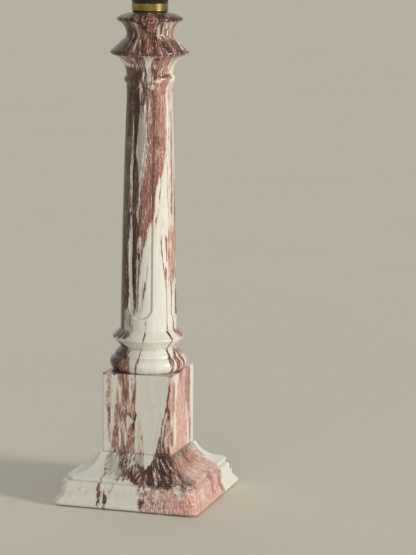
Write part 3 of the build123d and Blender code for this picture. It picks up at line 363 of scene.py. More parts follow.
# On the plinth the edges are millimetres round the die: -Y is -36 to 36, +X is 37 to 109.
PLINTH_BANDS = [
    # the left of the die's top, its brown partly glaze and partly painted shade, and the front of the die
    (BROWN, 4, (136, -82, -13), (129.2, -82, -15)),
    (UMBER, 4, (136, -60, -24), (129.4, -58, -26)),
    (STREAKS, 3, (134, -33, -25), (115, -32, -26), (95, -32.5, -26.5), (78, -31, -27), (70, -30.4, -28),
     (57, -30.4, -28.4)),
    (DUSKY, 2, (94, -31, -28), (84, -30.5, -27.5), (76, -30, -28)),
    (STREAKS, 3, (134, -21, -9), (120, -20, -8), (110, -22, -9), (100, -23, -8), (90, -23.5, -8),
     (80, -24, -6), (70, -27, -4), (60, -28, -2), (50, -28, -2)),
    (BLUSH, 2.5, (134, -19, -9), (122, -19, -8.4), (104, -16, -9), (96, -15.5, -11), (90, -14, -11)),
    (RUST, 2, (130, -18, -13), (123, -17, -14), (116, -15, -9.5), (108, -15.6, -11), (103, -15.6, -13)),
    (BLUSH, 2, (104, -22, -19.4), (88, -23, -18.4), (80, -22, -18)),
    (BLUSH, 3, (96, -18, -10), (90, -18, -9.4), (84, -20, -12)),
    (BLUSH, 4, (74, -26, -17), (62, -26, -10), (50, -26, -8)),
    (BLUSH, 3, (77, -8, -1.6), (66, -9, -1.4), (58, -11, -3), (50, -12, -3)),
    (WHITE, 2.2, (89, -9.6, -8.4), (83, -10.5, -8), (74, -10.5, -9)),
    (WHITE, 1.6, (72, -14, -12.6), (66, -13, -11.6), (58, -12.6, -11.4)),
    (WHITE, 1.6, (118, -18.6, -17), (110, -18.8, -17.2), (100, -18, -16.6)),
    (WHITE, 1.4, (74, -19, -17.8), (64, -18.4, -17), (56, -18.4, -17.4)),
    (DUSKY, 1.6, (128, -6.4, -4.8), (118, -6.2, -4.4), (113, -5.6, -4.6)),
    (ROSE, 1.6, (134, -3.4, -1), (116, -3.2, -1.2)),
    (RUST, 1.6, (116, -4, -1.4), (110, -5, -1.2), (104, -5.6, -1.6), (98, -4, -1.6), (90, -4, -1.6)),
    (STREAKS, 2.5, (104, -9.4, -3), (95, -9.6, -3), (86, -8.4, -3)),
    (WINE, 1.5, (93, -9.6, -7.6), (90, -9.2, -6.6), (86, -7, -4.6), (84, -5.6, -4)),
    (UMBER, 1.8, (92, -4, -0.4), (88, -4.2, -0.2), (84, -3.8, -1), (80, -5.6, -2), (76, -5, -2.6)),
    (WHITE, 1.6, (86, -1.4, 0), (54, -2.4, 0)),
    (FAINT, 3, (92, 0, 1.4), (70, 0, 6.4), (50, 0, 9)),
    (UMBER, 1.2, (70, 4.8, 6.2), (65, 5, 6.2)),
    # the white wedge between the two ragged edges, and the dark vein along its right edge
    (SALMON, 3, (134, 32.6, 46), (100, 33, 46), (80, 32, 44), (60, 30, 44), (48, 28, 44)),
    (WHITE, 1.5, (134, -0.6, 32.6), (120, 0, 32.4), (100, 1, 30), (90, 1.6, 28), (70, 6.4, 24),
     (60, 8, 21.6), (45, 9.6, 17), (40, 11.4, 15), (37, 13, 14)),
    (STREAKS, 1.6, (134, 32.6, 36), (122, 32.6, 35), (116, 33, 35)),
    (WINE, 1.4, (120, 32.4, 34), (108, 31.2, 33.6), (103, 31.4, 33), (98, 30.2, 32.4), (92, 28.8, 30.2),
     (86, 26.8, 28.2), (68, 23.8, 25.4), (62, 22.4, 24), (56, 20.4, 22.2), (50, 18.6, 21.4)),
    (WINE, 1.6, (102, 32.4, 33.8), (96, 32.2, 34.6), (88, 32.2, 34.2), (82, 29, 31), (76, 28.6, 30.2),
     (70, 28.2, 30), (64, 26.8, 28.4)),
    (RUST, 2.2, (70, 25.4, 29), (62, 24, 29.4), (54, 22.4, 31), (48, 21, 33)),
    (TRACE, 1.4, (92, 30.6, 32), (84, 27.8, 29), (76, 26.6, 28.2), (66, 25.6, 26.8)),
    (TRACE, 1.4, (80, 31.4, 33), (70, 30.4, 32.4), (58, 30.4, 31.8)),
    (WINE, 1.6, (59, 31.6, 34), (55, 31.8, 34.4), (52, 32, 33.6)),
    (STREAKS, 2, (86, 31, 34), (74, 31.6, 34)),
    # right of the die
    (CORAL, 6, (134, 50, 98), (110, 50, 98), (80, 46, 100), (60, 44, 100), (48, 40, 100)),
    (ROSE, 5, (134, 40, 49), (118, 38, 48), (106, 38, 46), (90, 37, 45)),
    (RED, 4, (80, 37, 40), (74, 36, 42), (66, 35.6, 43), (60, 36, 42)),
    (ROSE, 6, (134, 60, 70), (122, 62, 70), (114, 66, 70)),
    (ROSE, 6, (134, 80, 97), (100, 80, 96), (88, 82, 96)),
    (RUST, 3, (130, 91, 95), (116, 91, 96), (108, 92, 95), (92, 92, 95)),
    (RUST, 3, (100, 80, 83), (92, 79.6, 83)),
    (ROSE, 4, (78, 93, 100), (62, 94, 100), (50, 94, 100)),
    (WHITE, 2.6, (134, 40, 58), (126, 42, 58), (120, 46, 56), (114, 48, 54), (104, 49.6, 51)),
    (WHITE, 2.6, (90, 43, 49), (82, 44, 50), (74, 45, 52.6), (66, 45.6, 51.6), (56, 47, 48.4)),
    (FAINT, 3, (86, 49, 54), (80, 49, 52)),
    (WHITE, 3, (94, 83, 87), (82, 82, 87), (72, 90, 93), (50, 86, 93)),
    (WHITE, 2.5, (134, 97, 107), (110, 98, 107), (90, 98, 107), (76, 101, 107), (60, 101, 107),
     (46, 102, 107)),
    # foot: the front's cove
    (HAZE, 4, (50.4, -28, 9), (44, -27, 9), (37, -24, 11), (31, -20, 11)),
    (MURK, 2.4, (50.4, -27.4, -22), (44, -26.6, -22), (38, -25, -22.6), (33, -24, -22.6)),
    (MURK, 3, (50.4, -20, -4), (44, -18.6, -5), (38, -16, -5), (34, -14, -1), (31, -13, 1), (28, -12, -8)),
    (DUSKY, 3, (50.4, -17, -9), (44, -15, -8), (38, -12, -4), (33, -9, -2)),
    (MURK, 3, (50.4, 1, 8), (44, 1, 8.6), (38, 0, 10)),
    (DUSKY, 3, (41, -4, 11), (35, -3, 11), (31, 0, 9)),
    (UMBER, 1.2, (36, -1.6, 0.2), (33, -1.4, 0.6)),
    (TRACE, 2, (50, -4, -1), (40, -5, -2)),
    (UMBER, 1.2, (48, -1.4, -0.4), (43, -1.6, -0.6)),
    (WHITE, 1.6, (52, 9, 18), (47, 9.4, 17), (42, 10.6, 15.8), (38.6, 12.6, 13.8)),
    (RUST, 5, (40, 30, 46), (28, 28, 42), (22, 28, 40)),
    (BROWN, 2.6, (52, 18, 37), (46, 17, 38), (40, 15, 39), (37.6, 10.6, 38.6), (35, 4, 38), (31.6, 1, 37),
     (28.6, 4, 35), (25, 9, 31), (23.4, 12, 28)),
    (UMBER, 3, (52, 20, 33), (44, 20, 35), (38, 16, 37), (34, 14, 36.6), (30, 17, 35), (25, 19, 31)),
    (MAROON, 2.4, (50, 22, 27), (44, 25, 30), (38, 17, 21), (35, 25, 32), (30, 26, 32), (25.6, 22, 28)),
    (MAROON, 2, (41, 14.4, 18), (37, 12, 16), (33, 9, 13), (30, 4, 8)),
    (FAINT, 1.4, (37, 18, 20), (34, 19.6, 21.6), (31, 21.6, 23.8), (28, 23.4, 25)),
    (FAINT, 1.2, (48, 23.2, 24.2), (42, 25.6, 26.8), (37, 28.4, 29.4)),
    (STREAKS, 1.2, (40, 18.6, 19.8), (35, 22.4, 23.6), (31, 25, 26)),
    (STREAKS, 1.2, (36, 31, 32.2), (31, 31.6, 32.8), (27, 30.6, 31.8)),
    (FAINT, 1.2, (35, 6.8, 8), (31, 6, 7)),
    (STREAKS, 1.2, (34, 13.6, 14.8), (30, 14.4, 15.6), (26, 16, 17.2)),
    (FAINT, 1.2, (32, 9.4, 11), (29, 9.6, 11)),
    (STREAKS, 1.4, (50, 20, 21.4), (44, 20.6, 22), (40, 22, 23.4)),
    (STREAKS, 1.4, (48, 28.6, 30), (42, 30, 31.6), (36, 33, 35), (31, 33, 35.4)),
    (STREAKS, 1.4, (34, 27, 28.4), (30, 28.6, 30)),
    (RED, 3, (52, 34, 38), (44, 34.6, 40), (37, 34, 38)),
    # foot: its upright bands
    (WHITE, 2, (24, -36, 10), (0, -36, 14)),
    (ROSE, 1, (33, -23, -22), (27, -23.2, -21.8)),
    (MURK, 1.2, (27, -23.4, -21.6), (21, -24, -21), (13, -24.2, -21), (5, -23.6, -21), (3, -23, -21.6)),
    (CLARET, 1, (24, -23.4, -22), (14, -23.6, -22.2), (6, -23.2, -22)),
    (MURK, 1.2, (21, -19.6, -18.4), (16, -20, -18), (11, -20.2, -16.4), (6, -19.4, -17), (0, -19, -17.4)),
    (BROWN, 1, (14, -19.4, -18), (9, -19.6, -16.8), (6, -19, -17.4)),
    (ROSE, 1, (20, -15, -14.2), (16, -15.2, -14.2)),
    (STREAKS, 1.4, (30, -13, -11), (24, -13, -11.4), (19, -13.6, -12.6)),
    (STREAKS, 2.4, (24.4, 9, 40), (8, 12.6, 40), (0, 14, 40)),
    (DUSKY, 1.6, (15, 11.4, 14), (10, 12, 17), (5, 13, 16)),
    (UMBER, 1.4, (11.6, 12, 15.6), (8.4, 12.6, 16)),
    (CORAL, 3, (24, 27, 44), (0, 31, 44)),
    (FAINT, 1.6, (24, 23.6, 26.6), (14, 23, 25)),
    (WHITE, 1.2, (29, 33, 34), (26, 31.8, 33.6), (20, 33, 34), (15, 33.6, 34.4)),
    # foot: the right side
    (DUSKY, 5, (51, 38, 96), (42, 37, 97)),
    (ROSE, 5, (46, 38, 96), (40, 38, 96), (36, 39, 97), (32.4, 41, 97)),
    (BROWN, 1.6, (50, 60, 64), (44, 60, 65), (39, 61, 66)),
    (STREAKS, 4, (50, 84, 97), (36, 88, 97)),
    (CORAL, 4, (35, 44, 95), (28, 40, 95), (18, 38, 93), (0, 38, 91)),
    (ROSE, 4, (30, 60, 74), (8, 64, 70)),
    (ROSE, 3, (26, 84, 93), (16, 84, 92), (4, 86, 91)),
    (FAINT, 4, (22, 41, 45), (14, 41.6, 45.6), (9, 42, 45)),
    (WHITE, 2, (52, 99, 112), (40, 100, 112), (30, 96, 112), (20, 94.4, 112), (12, 94, 112), (0, 90, 112)),
    (RUST, 1.4, (51, 97, 99.4), (37, 98.4, 100)),
    (UMBER, 1, (50, 97.6, 98.8), (45, 98, 99)),
    (RED, 1.4, (27, 107.4, 109), (23, 107.4, 109.4), (18, 107, 108.6)),
]


def hidden_bands(seed, first, last, heights, width):
    """Bands of the same kinds for the sides that the photograph doesn't show."""
    rng = np.random.default_rng(seed)
    kinds = [ROSE, STREAKS, SALMON, DUSKY, FAINT, MAROON, RUST, WHITE, STREAKS, BROWN]
    least_half = 0.4
    found = []
    place = first
    while place < last:
        kind = kinds[rng.integers(len(kinds))]
        half = width * rng.uniform(0.25, 1.0) * (0.3 if kind is MAROON else 1.0)
        drift = rng.uniform(-0.9, 0.9, len(heights)).cumsum() * width * 0.35
        halves = np.maximum(least_half, half * rng.uniform(0.3, 1.2, len(heights)))
        knots = [(z, place + d - h, place + d + h) for z, d, h in zip(heights, drift, halves)]
        found.append((kind, width * rng.uniform(0.2, 0.6), *knots))
        place += half + width * rng.uniform(0.1, 0.6)
    return found


def smooth_noise(place, z, period, count, tall, seed):
    """Smooth noise from -1 to 1: count cells go round the piece in one period, and each is so tall."""
    rows = 101
    grid = np.random.default_rng(seed).uniform(-1, 1, (count, rows))
    u, v = place / period * count, z / tall
    i, j = np.floor(u).astype(int), np.floor(v).astype(int)
    fu, fv = u - i, v - j
    fu, fv = fu * fu * (3 - 2 * fu), fv * fv * (3 - 2 * fv)
    low, high = (grid[i % count, k % rows] * (1 - fu) + grid[(i + 1) % count, k % rows] * fu
                 for k in (j, j + 1))
    return low * (1 - fv) + high * fv


def wandered(place, z, period, amount):
    """Places shifted a little, so that no band or streak runs quite straight."""
    shift = 0
    for weight, count, tall, seed in ((1.0, 26, 17.0, 5), (0.5, 60, 5.5, 6), (0.25, 150, 2.3, 7)):
        shift = shift + weight * smooth_noise(place, z, period, count, tall, seed)
    return place + amount * shift


def painted(place, z, bands, period, drip):
    """The marbling colour at each point: the bands laid over each other, each with ends that run ragged."""
    kinds_of_drip = 7
    drips = [smooth_noise(place, z, period, 190, 30.0, 100 + k) for k in range(kinds_of_drip)]
    most_fade = 4.0
    colour = np.tile(np.array(WHITE), (len(place), 1))
    for index, (kind, soft, *knots) in enumerate(bands):
        heights, lefts, rights = (np.array(v, float) for v in zip(*sorted(knots)))
        span = heights[-1] - heights[0]
        level = z + np.minimum(drip, span * 0.14) * drips[index % kinds_of_drip]
        left, right = np.interp(level, heights, lefts), np.interp(level, heights, rights)
        off = place - (left + right) / 2
        off = np.abs((off + period / 2) % period - period / 2)
        fade = min(most_fade, span / 4)
        share = np.clip(((right - left) / 2 + soft / 2 - off) / soft, 0, 1)
        share *= np.clip((right - left) / soft * 1.5, 0, 1)
        share *= np.clip((level - heights[0]) / fade + 0.5, 0, 1)
        share *= np.clip((heights[-1] - level) / fade + 0.5, 0, 1)
        colour += (np.array(kind) - colour) * share[:, None]
    return colour


# ---------------------------------------------------------------- glazed meshes
def placed(name, data):
    """A new object in the scene."""
    made = bpy.data.objects.new(name, data)
    bpy.context.scene.collection.objects.link(made)
    return made


def ring_mesh(name, rings, colours, flow, crease):
    """A closed mesh from rings of equal length that join end to end, like a bent tube."""
    count, around = rings.shape[:2]
    i, j = np.meshgrid(np.arange(count), np.arange(around), indexing="ij")
    ni, nj = (i + 1) % count, (j + 1) % around
    faces = np.stack([i * around + j, i * around + nj, ni * around + nj, ni * around + j], -1).reshape(-1, 4)
    mesh = bpy.data.meshes.new(name)
    mesh.vertices.add(count * around)
    mesh.vertices.foreach_set("co", (rings * MM).reshape(-1).astype(np.float32))
    mesh.loops.add(faces.size)
    mesh.loops.foreach_set("vertex_index", faces.reshape(-1).astype(np.int32))
    mesh.polygons.add(len(faces))
    mesh.polygons.foreach_set("loop_start", np.arange(0, faces.size, 4, dtype=np.int32))
    mesh.polygons.foreach_set("use_smooth", np.ones(len(faces), bool))
    mesh.update(calc_edges=True)
    for label, kind, field, values in (("marbling", "FLOAT_VECTOR", "vector", colours),
                                       ("flow", "FLOAT_VECTOR", "vector", flow),
                                       ("crease", "FLOAT", "value", crease)):
        attribute = mesh.attributes.new(label, kind, "POINT")
        attribute.data.foreach_set(field, values.reshape(-1).astype(np.float32))
    mesh.validate()
    return placed(name, mesh)


def creases(line, reach, step):
    """How sharply an outline turns inwards at each of its points, from 0 to 1."""
    least_turn, range_of_turns = 0.35, 0.9
    near = max(1, int(round(reach / step)))
    ahead = np.roll(line, -near, axis=0) - line
    behind = line - np.roll(line, near, axis=0)
    turn = np.arctan2(behind[:, 0] * ahead[:, 1] - behind[:, 1] * ahead[:, 0], (behind * ahead).sum(axis=1))
    turn[:near] = turn[-near:] = 0
    return np.clip((-turn - least_turn) / range_of_turns, 0, 1)


def square_ring(half, corner, flat_count, corner_count):
    """One rounded square, anticlockwise from the middle of the -X, -Y corner."""
    turn = np.linspace(0, pi / 4, corner_count, endpoint=False)
    flat = half - corner
    side = [(-flat - corner * sin(pi / 4 - a), -flat - corner * cos(pi / 4 - a)) for a in turn]
    side += [(x, -half) for x in np.linspace(-flat, flat, flat_count)]
    side += [(flat + corner * sin(a), -flat - corner * cos(a)) for a in turn[1:]]
    sides = [np.array(side)]
    quarter_turn = np.array([[0, 1], [-1, 0]])
    for _ in range(3):
        sides.append(sides[-1] @ quarter_turn)
    return np.vstack(sides)


def face_place(x, y):
    """How far round the die, in millimetres, the flow line through a point starts."""
    face = np.round(np.arctan2(x, -y) / (pi / 2))
    turn = face * pi / 2
    along = x * np.cos(turn) + y * np.sin(turn)
    away = np.maximum(x * np.sin(turn) - y * np.cos(turn), 1e-6)
    fan = along / away
    return 2 * DIE_HALF * face + along * (1 - np.abs(fan)) + DIE_HALF * fan * np.abs(fan)


def make_plinth():
    """The glazed foot and die, hollow, with soft arrises."""
    step, period = 0.6, 8 * DIE_HALF
    bore, roof, hollow = 6.4, 122.0, 30.5
    outer = softened(plinth_outline(), 0.45, step)
    inner = [(20.5, plinth_top), (bore, plinth_top), (bore, roof), (hollow, roof), (hollow, 31), (40, 26),
             (59, 20), (63, 12), (67, foot_z)]
    line = np.vstack([outer, resampled(inner, 4.0)])
    corners = np.interp(line[:, 1], [5, 12, 22, 27, 36, 45, 50, 52], [6.5, 8, 9, 10, 8, 5, 3.2, 2.4])
    corners[len(outer):] = np.minimum(line[len(outer):, 0], bore)
    rings = []
    for (half, z), corner in zip(line, corners):
        ring = square_ring(half, min(corner, half), 120, 16)
        rings.append(np.column_stack([ring, np.full(len(ring), z)]))
    rings = np.array(rings)
    around = rings.shape[1]
    x, y, z = rings.reshape(-1, 3).T
    place = face_place(x, y)
    along = line_length(line)

    bands = hidden_bands(11, 118, 250, [134, 95, 60, 40, 20, -1], 9) + PLINTH_BANDS
    drip = np.interp(z, [27, 30, 44, 49, 53, 60], [2.0, 4.0, 4.0, 0.5, 0.5, 4.5])
    colours = painted(wandered(place, z, period, 0.6), z, bands, period, drip)
    # the streaks fan out over the foot, and are shorter there than on the die
    scale = 50.0 / np.repeat(line[:, 0], around)
    sway = 1.4 * smooth_noise(place, z, period, 40, 12.0, 8)
    slide = np.interp(line[:, 1], [0, 26, 45, 60], [3.0, 2.6, 1.4, 1.2])
    fall = np.concatenate([[0], np.cumsum(slide[1:] * np.diff(along))])
    flow = np.column_stack([x * scale + sway, y * scale - sway, np.repeat(fall, around)])

    # the outline's inward corners are darkened, partly as pooled glaze and partly as painted shade
    crease = np.zeros(rings.shape[:2])
    crease[:len(outer)] = creases(outer, 1.2, step)[:, None]
    # painted shade: the die's top is darkened under the column, most on its left
    ledge = np.clip((DIE_HALF - 1.2 - line[:, 0]) / 1.5, 0, 1) * (line[:, 1] > plinth_top - 0.2)
    wave = 0.12 * smooth_noise(place, np.repeat(along, around), period, 12, 19, 21) / np.hypot(x, y)
    rings[..., 0] += (x * wave).reshape(crease.shape)
    rings[..., 1] += (y * wave).reshape(crease.shape)
    crease = np.maximum(crease, ledge[:, None] * np.interp(rings[..., 0], [-12, 14], [1.0, 0.45]))
    return ring_mesh("glazed_plinth", rings, colours, flow, crease)


def flute_depth(angle, radius, z):
    """How far the four sunk panels lie below the shaft's own outline, and how near their edge a point is."""
    low, high = plinth_top + 54.3, plinth_top + 284.2
    half, depth, edge = 11.75, 1.5, 0.9
    groove, groove_width = 0.35, 0.45
    turned = (angle + pi / 4) % (pi / 2) - pi / 4
    across = radius * np.sin(turned)
    along = np.maximum(0, np.maximum(low + half - z, z - high + half))
    inside = half - np.hypot(across, along)
    step = np.clip(inside / edge * 0.5 + 0.5, 0, 1)
    return depth * step * step * (3 - 2 * step), np.exp(-((inside - groove) / groove_width) ** 2)


def make_column():
    """The glazed column, hollow, with its four sunk panels."""
    step, around = 0.7, 400
    bore, seat, seat_z = 6.2, 15.6, column_top - 7.0
    hollow = 20.9
    outer = softened(column_outline(), 0.5, step)
    inner = [(bore, column_top), (bore, seat_z), (seat, seat_z), (seat, plinth_top + SHAFT_HIGH),
             (hollow, plinth_top + SHAFT_LOW), (hollow, plinth_top)]
    line = np.vstack([outer, resampled(inner, 6.0)])
    turn = np.tile(np.arange(around) / around * 2 * pi, (len(line), 1))
    radius = np.tile(line[:, :1], around)
    z = np.tile(line[:, 1:], around)
    run = np.repeat(line_length(line), around)
    degrees, heights = np.degrees(turn.reshape(-1)), z.reshape(-1)
    outside = (np.arange(len(line)) < len(outer))[:, None]
    wave = 0.1 * smooth_noise(degrees, run, 360, 9, 23, 22).reshape(radius.shape)
    depth, edge = flute_depth(turn, radius, z)
    radius = radius - np.where(outside, depth - wave, 0)
    rings = np.stack([radius * np.sin(turn), -radius * np.cos(turn), z], -1)

    bands = hidden_bands(12, 118, 276, [489, 450, 420, 350, 290, 220, 170, 128], 13) + COLUMN_BANDS
    drip = np.interp(heights, [410, 430], [4.5, 0.9])
    colours = painted(wandered(degrees, heights, 360, 0.8), heights, bands, 360, drip)
    reach = 34.0
    turned = np.radians(wandered(degrees, heights, 360, 2.4))
    flow = np.column_stack([reach * np.cos(turned), reach * np.sin(turned), run])
    # painted shade along the edges of the sunk panels; the outline's inward corners are darkened too, partly
    # as pooled glaze and partly as painted shade
    crease = np.where(outside, 0.6 * edge, 0)
    crease[:len(outer)] = np.maximum(crease[:len(outer)], creases(outer, 1.4, step)[:, None])
    return ring_mesh("glazed_column", rings, colours, flow, crease)


# ---------------------------------------------------------------- materials
SOFT_GLOSS = 0.36


class Nodes:
    """Short names for the shader nodes of one material."""

    def __init__(self, name):
        self.material = bpy.data.materials.new(name)
        self.material.use_nodes = True
        self.tree = self.material.node_tree
        self.shader = self.tree.nodes["Principled BSDF"]

    def feed(self, socket, value):
        """Link a socket to another, or give it a number or a colour."""
        if isinstance(value, bpy.types.NodeSocket):
            self.tree.links.new(value, socket)
        else:
            socket.default_value = (*value, 1.0) if isinstance(value, tuple) else value

    def node(self, kind, **inputs):
        """A new node. Its inputs go by name, or by number as i0, i1 and so on."""
        made = self.tree.nodes.new(kind)
        for key, value in inputs.items():
            self.feed(made.inputs[int(key[1:]) if key[1:].isdigit() else key], value)
        return made

    def attribute(self, name, output="Vector"):
        made = self.node("ShaderNodeAttribute")
        made.attribute_name = name
        return made.outputs[output]

    def place(self):
        return self.node("ShaderNodeTexCoord").outputs["Object"]

    def stretched(self, vector, x, y, z):
        made = self.node("ShaderNodeMapping", Vector=vector)
        made.inputs["Scale"].default_value = (x, y, z)
        return made.outputs["Vector"]

    def noise(self, vector, scale, detail=4.0, rough=0.55, distort=0.0):
        made = self.node("ShaderNodeTexNoise", Vector=vector, Scale=scale, Detail=detail, Roughness=rough,
                         Distortion=distort)
        return made.outputs[0]

    def math(self, what, a, b):
        made = self.node("ShaderNodeMath", i0=a, i1=b)
        made.operation = what
        return made.outputs[0]

    def times(self, a, b):
        return self.math("MULTIPLY", a, b)

    def swing(self, value, amount):
        """A value from 0 to 1 as a swing to both sides of 0."""
        return self.times(self.math("SUBTRACT", value, 0.5), amount)

    def spread(self, value, low, high, to_low=0.0, to_high=1.0):
        made = self.node("ShaderNodeMapRange", i0=value, i1=low, i2=high, i3=to_low, i4=to_high)
        return made.outputs[0]

    def mix(self, share, a, b):
        made = self.tree.nodes.new("ShaderNodeMix")
        made.data_type = "RGBA"
        for index, value in ((0, share), (6, a), (7, b)):
            self.feed(made.inputs[index], value)
        return made.outputs[2]

    def weighted(self, *terms):
        """The sum of values, each times its own weight."""
        total = None
        for value, weight in terms:
            part = self.times(value, weight)
            total = part if total is None else self.math("ADD", total, part)
        return total

    def ramp(self, value, *stops):
        made = self.node("ShaderNodeValToRGB", Fac=value)
        elements = made.color_ramp.elements
        while len(elements) < len(stops):
            elements.new(0.5)
        for element, (place, colour) in zip(elements, stops):
            element.position = place
            element.color = (*colour, 1.0)
        return made.outputs[0]

    def bump(self, height, strength, distance):
        made = self.node("ShaderNodeBump", Height=height, Strength=strength, Distance=distance)
        self.set(Normal=made.outputs[0])

    def set(self, **inputs):
        for key, value in inputs.items():
            self.feed(self.shader.inputs[key.replace("_", " ")], value)


def marbled_glaze():
    """Cream glaze with pink and dark streaks that run down the piece. The flow attribute is in millimetres
    round and down the piece, marbling says how much of each colour lies where, and crease where the glaze
    pools and where shade is painted darker."""
    n = Nodes("marbled_glaze")
    flow = n.attribute("flow")
    split = n.node("ShaderNodeSeparateXYZ", Vector=n.attribute("marbling"))
    amount, dark, tone = split.outputs

    def strand(squeeze, scale, detail, rough, distort, low, across=1):
        """Noise drawn out along the flow, spread from 0 to 1."""
        drawn = n.noise(n.stretched(flow, across, across, squeeze), scale, detail, rough, distort)
        return n.spread(drawn, low, 1 - low)

    thread = strand(0.075, 1.1, 3, 0.6, 0.25, 0.36)
    fine = strand(0.13, 0.62, 5, 0.65, 0.5, 0.34)
    broad = strand(0.16, 0.2, 4, 0.6, 0.8, 0.34)
    tint = strand(0.1, 0.75, 6, 0.68, 0.4, 0.37, 1.1)
    grain = strand(0.4, 1.1, 4, 0.65, 0.6, 0.35)
    ragged = strand(0.3, 0.6, 6, 0.7, 1, 0.34)

    # the olive grey wash of tones near 2, which is partly painted shade
    wash = n.spread(tone, 1.7, 2.05)
    streak = n.weighted((thread, 0.4), (fine, 0.3), (broad, 0.12), (grain, 0.18))
    pink_level = n.math("ADD", amount, n.swing(streak, 1.6))
    pink_mask = n.times(n.spread(pink_level, 0.42, 0.6), n.spread(wash, 0, 1, 1, 0.3))
    tear = n.weighted((ragged, 0.45), (thread, 0.25), (fine, 0.15), (grain, 0.15))
    dark_mask = n.spread(n.math("ADD", dark, n.swing(tear, 1.3)), 0.48, 0.64)

    cream = n.mix(n.times(broad, 0.6), (0.79, 0.785, 0.71), (0.70, 0.685, 0.61))
    shade = n.weighted((tint, 0.45), (thread, 0.25), (grain, 0.3))
    tone_level = n.times(n.math("ADD", tone, n.swing(shade, 1.3)), 0.5)
    pink = n.ramp(tone_level, (0, (0.79, 0.54, 0.45)), (0.15, (0.70, 0.37, 0.3)),
                  (0.31, (0.44, 0.215, 0.17)), (0.5, (0.2, 0.09, 0.068)), (0.7, (0.092, 0.056, 0.038)),
                  (0.84, (0.1, 0.082, 0.052)), (1, (0.31, 0.265, 0.2)))
    depth = n.spread(n.weighted((grain, 0.45), (thread, 0.35), (broad, 0.2)), 0.28, 0.68)
    deep = n.mix(depth, (0.15, 0.07, 0.054), (0.016, 0.007, 0.006))
    stain = n.times(n.spread(pink_level, 0.05, 0.45), n.spread(wash, 0, 1, 0.4, 0.72))
    tan = n.mix(wash, (0.66, 0.5, 0.42), (0.46, 0.38, 0.31))
    base = n.mix(stain, cream, n.mix(0.5, tan, pink))
    base = n.mix(pink_mask, base, pink)
    base = n.mix(dark_mask, base, deep)
    # pooled glaze and painted shade: where the crease attribute is high, hollows, panel edges and the die's
    # top go dark grey-brown
    pooled_glaze_and_shade = n.times(n.attribute("crease", "Fac"), n.spread(fine, 0, 1, 0.35, 0.8))
    base = n.mix(pooled_glaze_and_shade, base, (0.2, 0.155, 0.12))
    speck = n.spread(n.noise(flow, 0.42, 2, 0.5), 0.735, 0.755)
    base = n.mix(n.times(speck, 0.6), base, (0.10, 0.07, 0.05))
    n.set(Base_Color=base, Roughness=n.spread(broad, 0, 1, 0.13, 0.2), Specular_IOR_Level=SOFT_GLOSS)
    n.set(Coat_Weight=0.08, Coat_Roughness=0.05)
    waves = n.math("ADD", n.noise(flow, 0.1, 2, 0.5), n.times(fine, 0.02))
    n.bump(waves, 0.35, 0.0006)
    return n.material


def brass(name, fresh, tarnish, polish):
    n = Nodes(name)
    place = n.place()
    cloud = n.noise(place, 70, 5, 0.6)
    turning = n.noise(n.stretched(place, 1, 1, 60), 45, 3, 0.5)
    colour = n.mix(n.spread(cloud, 0.35, 0.72), fresh, tarnish)
    n.set(Base_Color=n.mix(n.times(n.spread(turning, 0.4, 0.6), 0.3), colour, (0.26, 0.18, 0.06)))
    n.set(Metallic=1, Roughness=n.spread(cloud, 0.3, 0.75, polish, polish + 0.22))
    n.bump(turning, 0.12, 0.0002)
    return n.material


def steel():
    n = Nodes("steel")
    place = n.place()
    cloud = n.noise(place, 130, 5, 0.6)
    spangle = n.node("ShaderNodeTexVoronoi", Vector=place, Scale=420).outputs["Color"]
    colour = n.mix(n.spread(cloud, 0.35, 0.7), (0.60, 0.60, 0.58), (0.42, 0.42, 0.40))
    n.set(Base_Color=n.mix(0.12, colour, spangle), Metallic=1)
    n.set(Roughness=n.spread(cloud, 0.3, 0.7, 0.26, 0.44))
    n.bump(n.noise(place, 900, 2, 0.5), 0.1, 0.0002)
    return n.material


def phenolic():
    """Black moulding with a soft gloss, and faint flow marks with paler dust along them."""
    n = Nodes("black_phenolic")
    place = n.place()
    cloud = n.noise(place, 90, 5, 0.6)
    marks = n.noise(n.stretched(place, 1, 1, 5), 240, 3, 0.6)
    colour = n.mix(n.spread(cloud, 0.35, 0.7), (0.012, 0.011, 0.010), (0.026, 0.022, 0.019))
    dusty = n.times(n.spread(marks, 0.55, 0.75), 0.4)
    n.set(Base_Color=n.mix(dusty, colour, (0.045, 0.038, 0.032)), Specular_IOR_Level=SOFT_GLOSS)
    n.set(Roughness=n.spread(cloud, 0.3, 0.7, 0.2, 0.34), IOR=1.5)
    n.bump(marks, 0.12, 0.0002)
    return n.material


def felt():
    n = Nodes("felt")
    place = n.place()
    fibre = n.noise(place, 2600, 4, 0.7, 2.5)
    cloud = n.noise(place, 60, 4, 0.6)
    colour = n.mix(n.spread(fibre, 0.3, 0.7), (0.030, 0.062, 0.036), (0.075, 0.125, 0.080))
    n.set(Base_Color=n.mix(n.times(cloud, 0.3), colour, (0.11, 0.13, 0.09)), Roughness=0.95)
    n.set(Sheen_Weight=0.4)
    n.bump(fibre, 0.6, 0.0006)
    return n.material


def matte(name, size, pale, deep, smooth, rough, grain, strength):
    """A dull even surface, for the rubber and the porcelain: clouds of two shades and a fine grain."""
    n = Nodes(name)
    place = n.place()
    cloud = n.noise(place, size, 4, 0.6)
    n.set(Base_Color=n.mix(n.spread(cloud, 0.3, 0.7), pale, deep))
    n.set(Roughness=n.spread(cloud, 0.3, 0.7, smooth, rough))
    n.bump(n.noise(place, grain, 3, 0.6), strength, 0.0003)
    return n.material


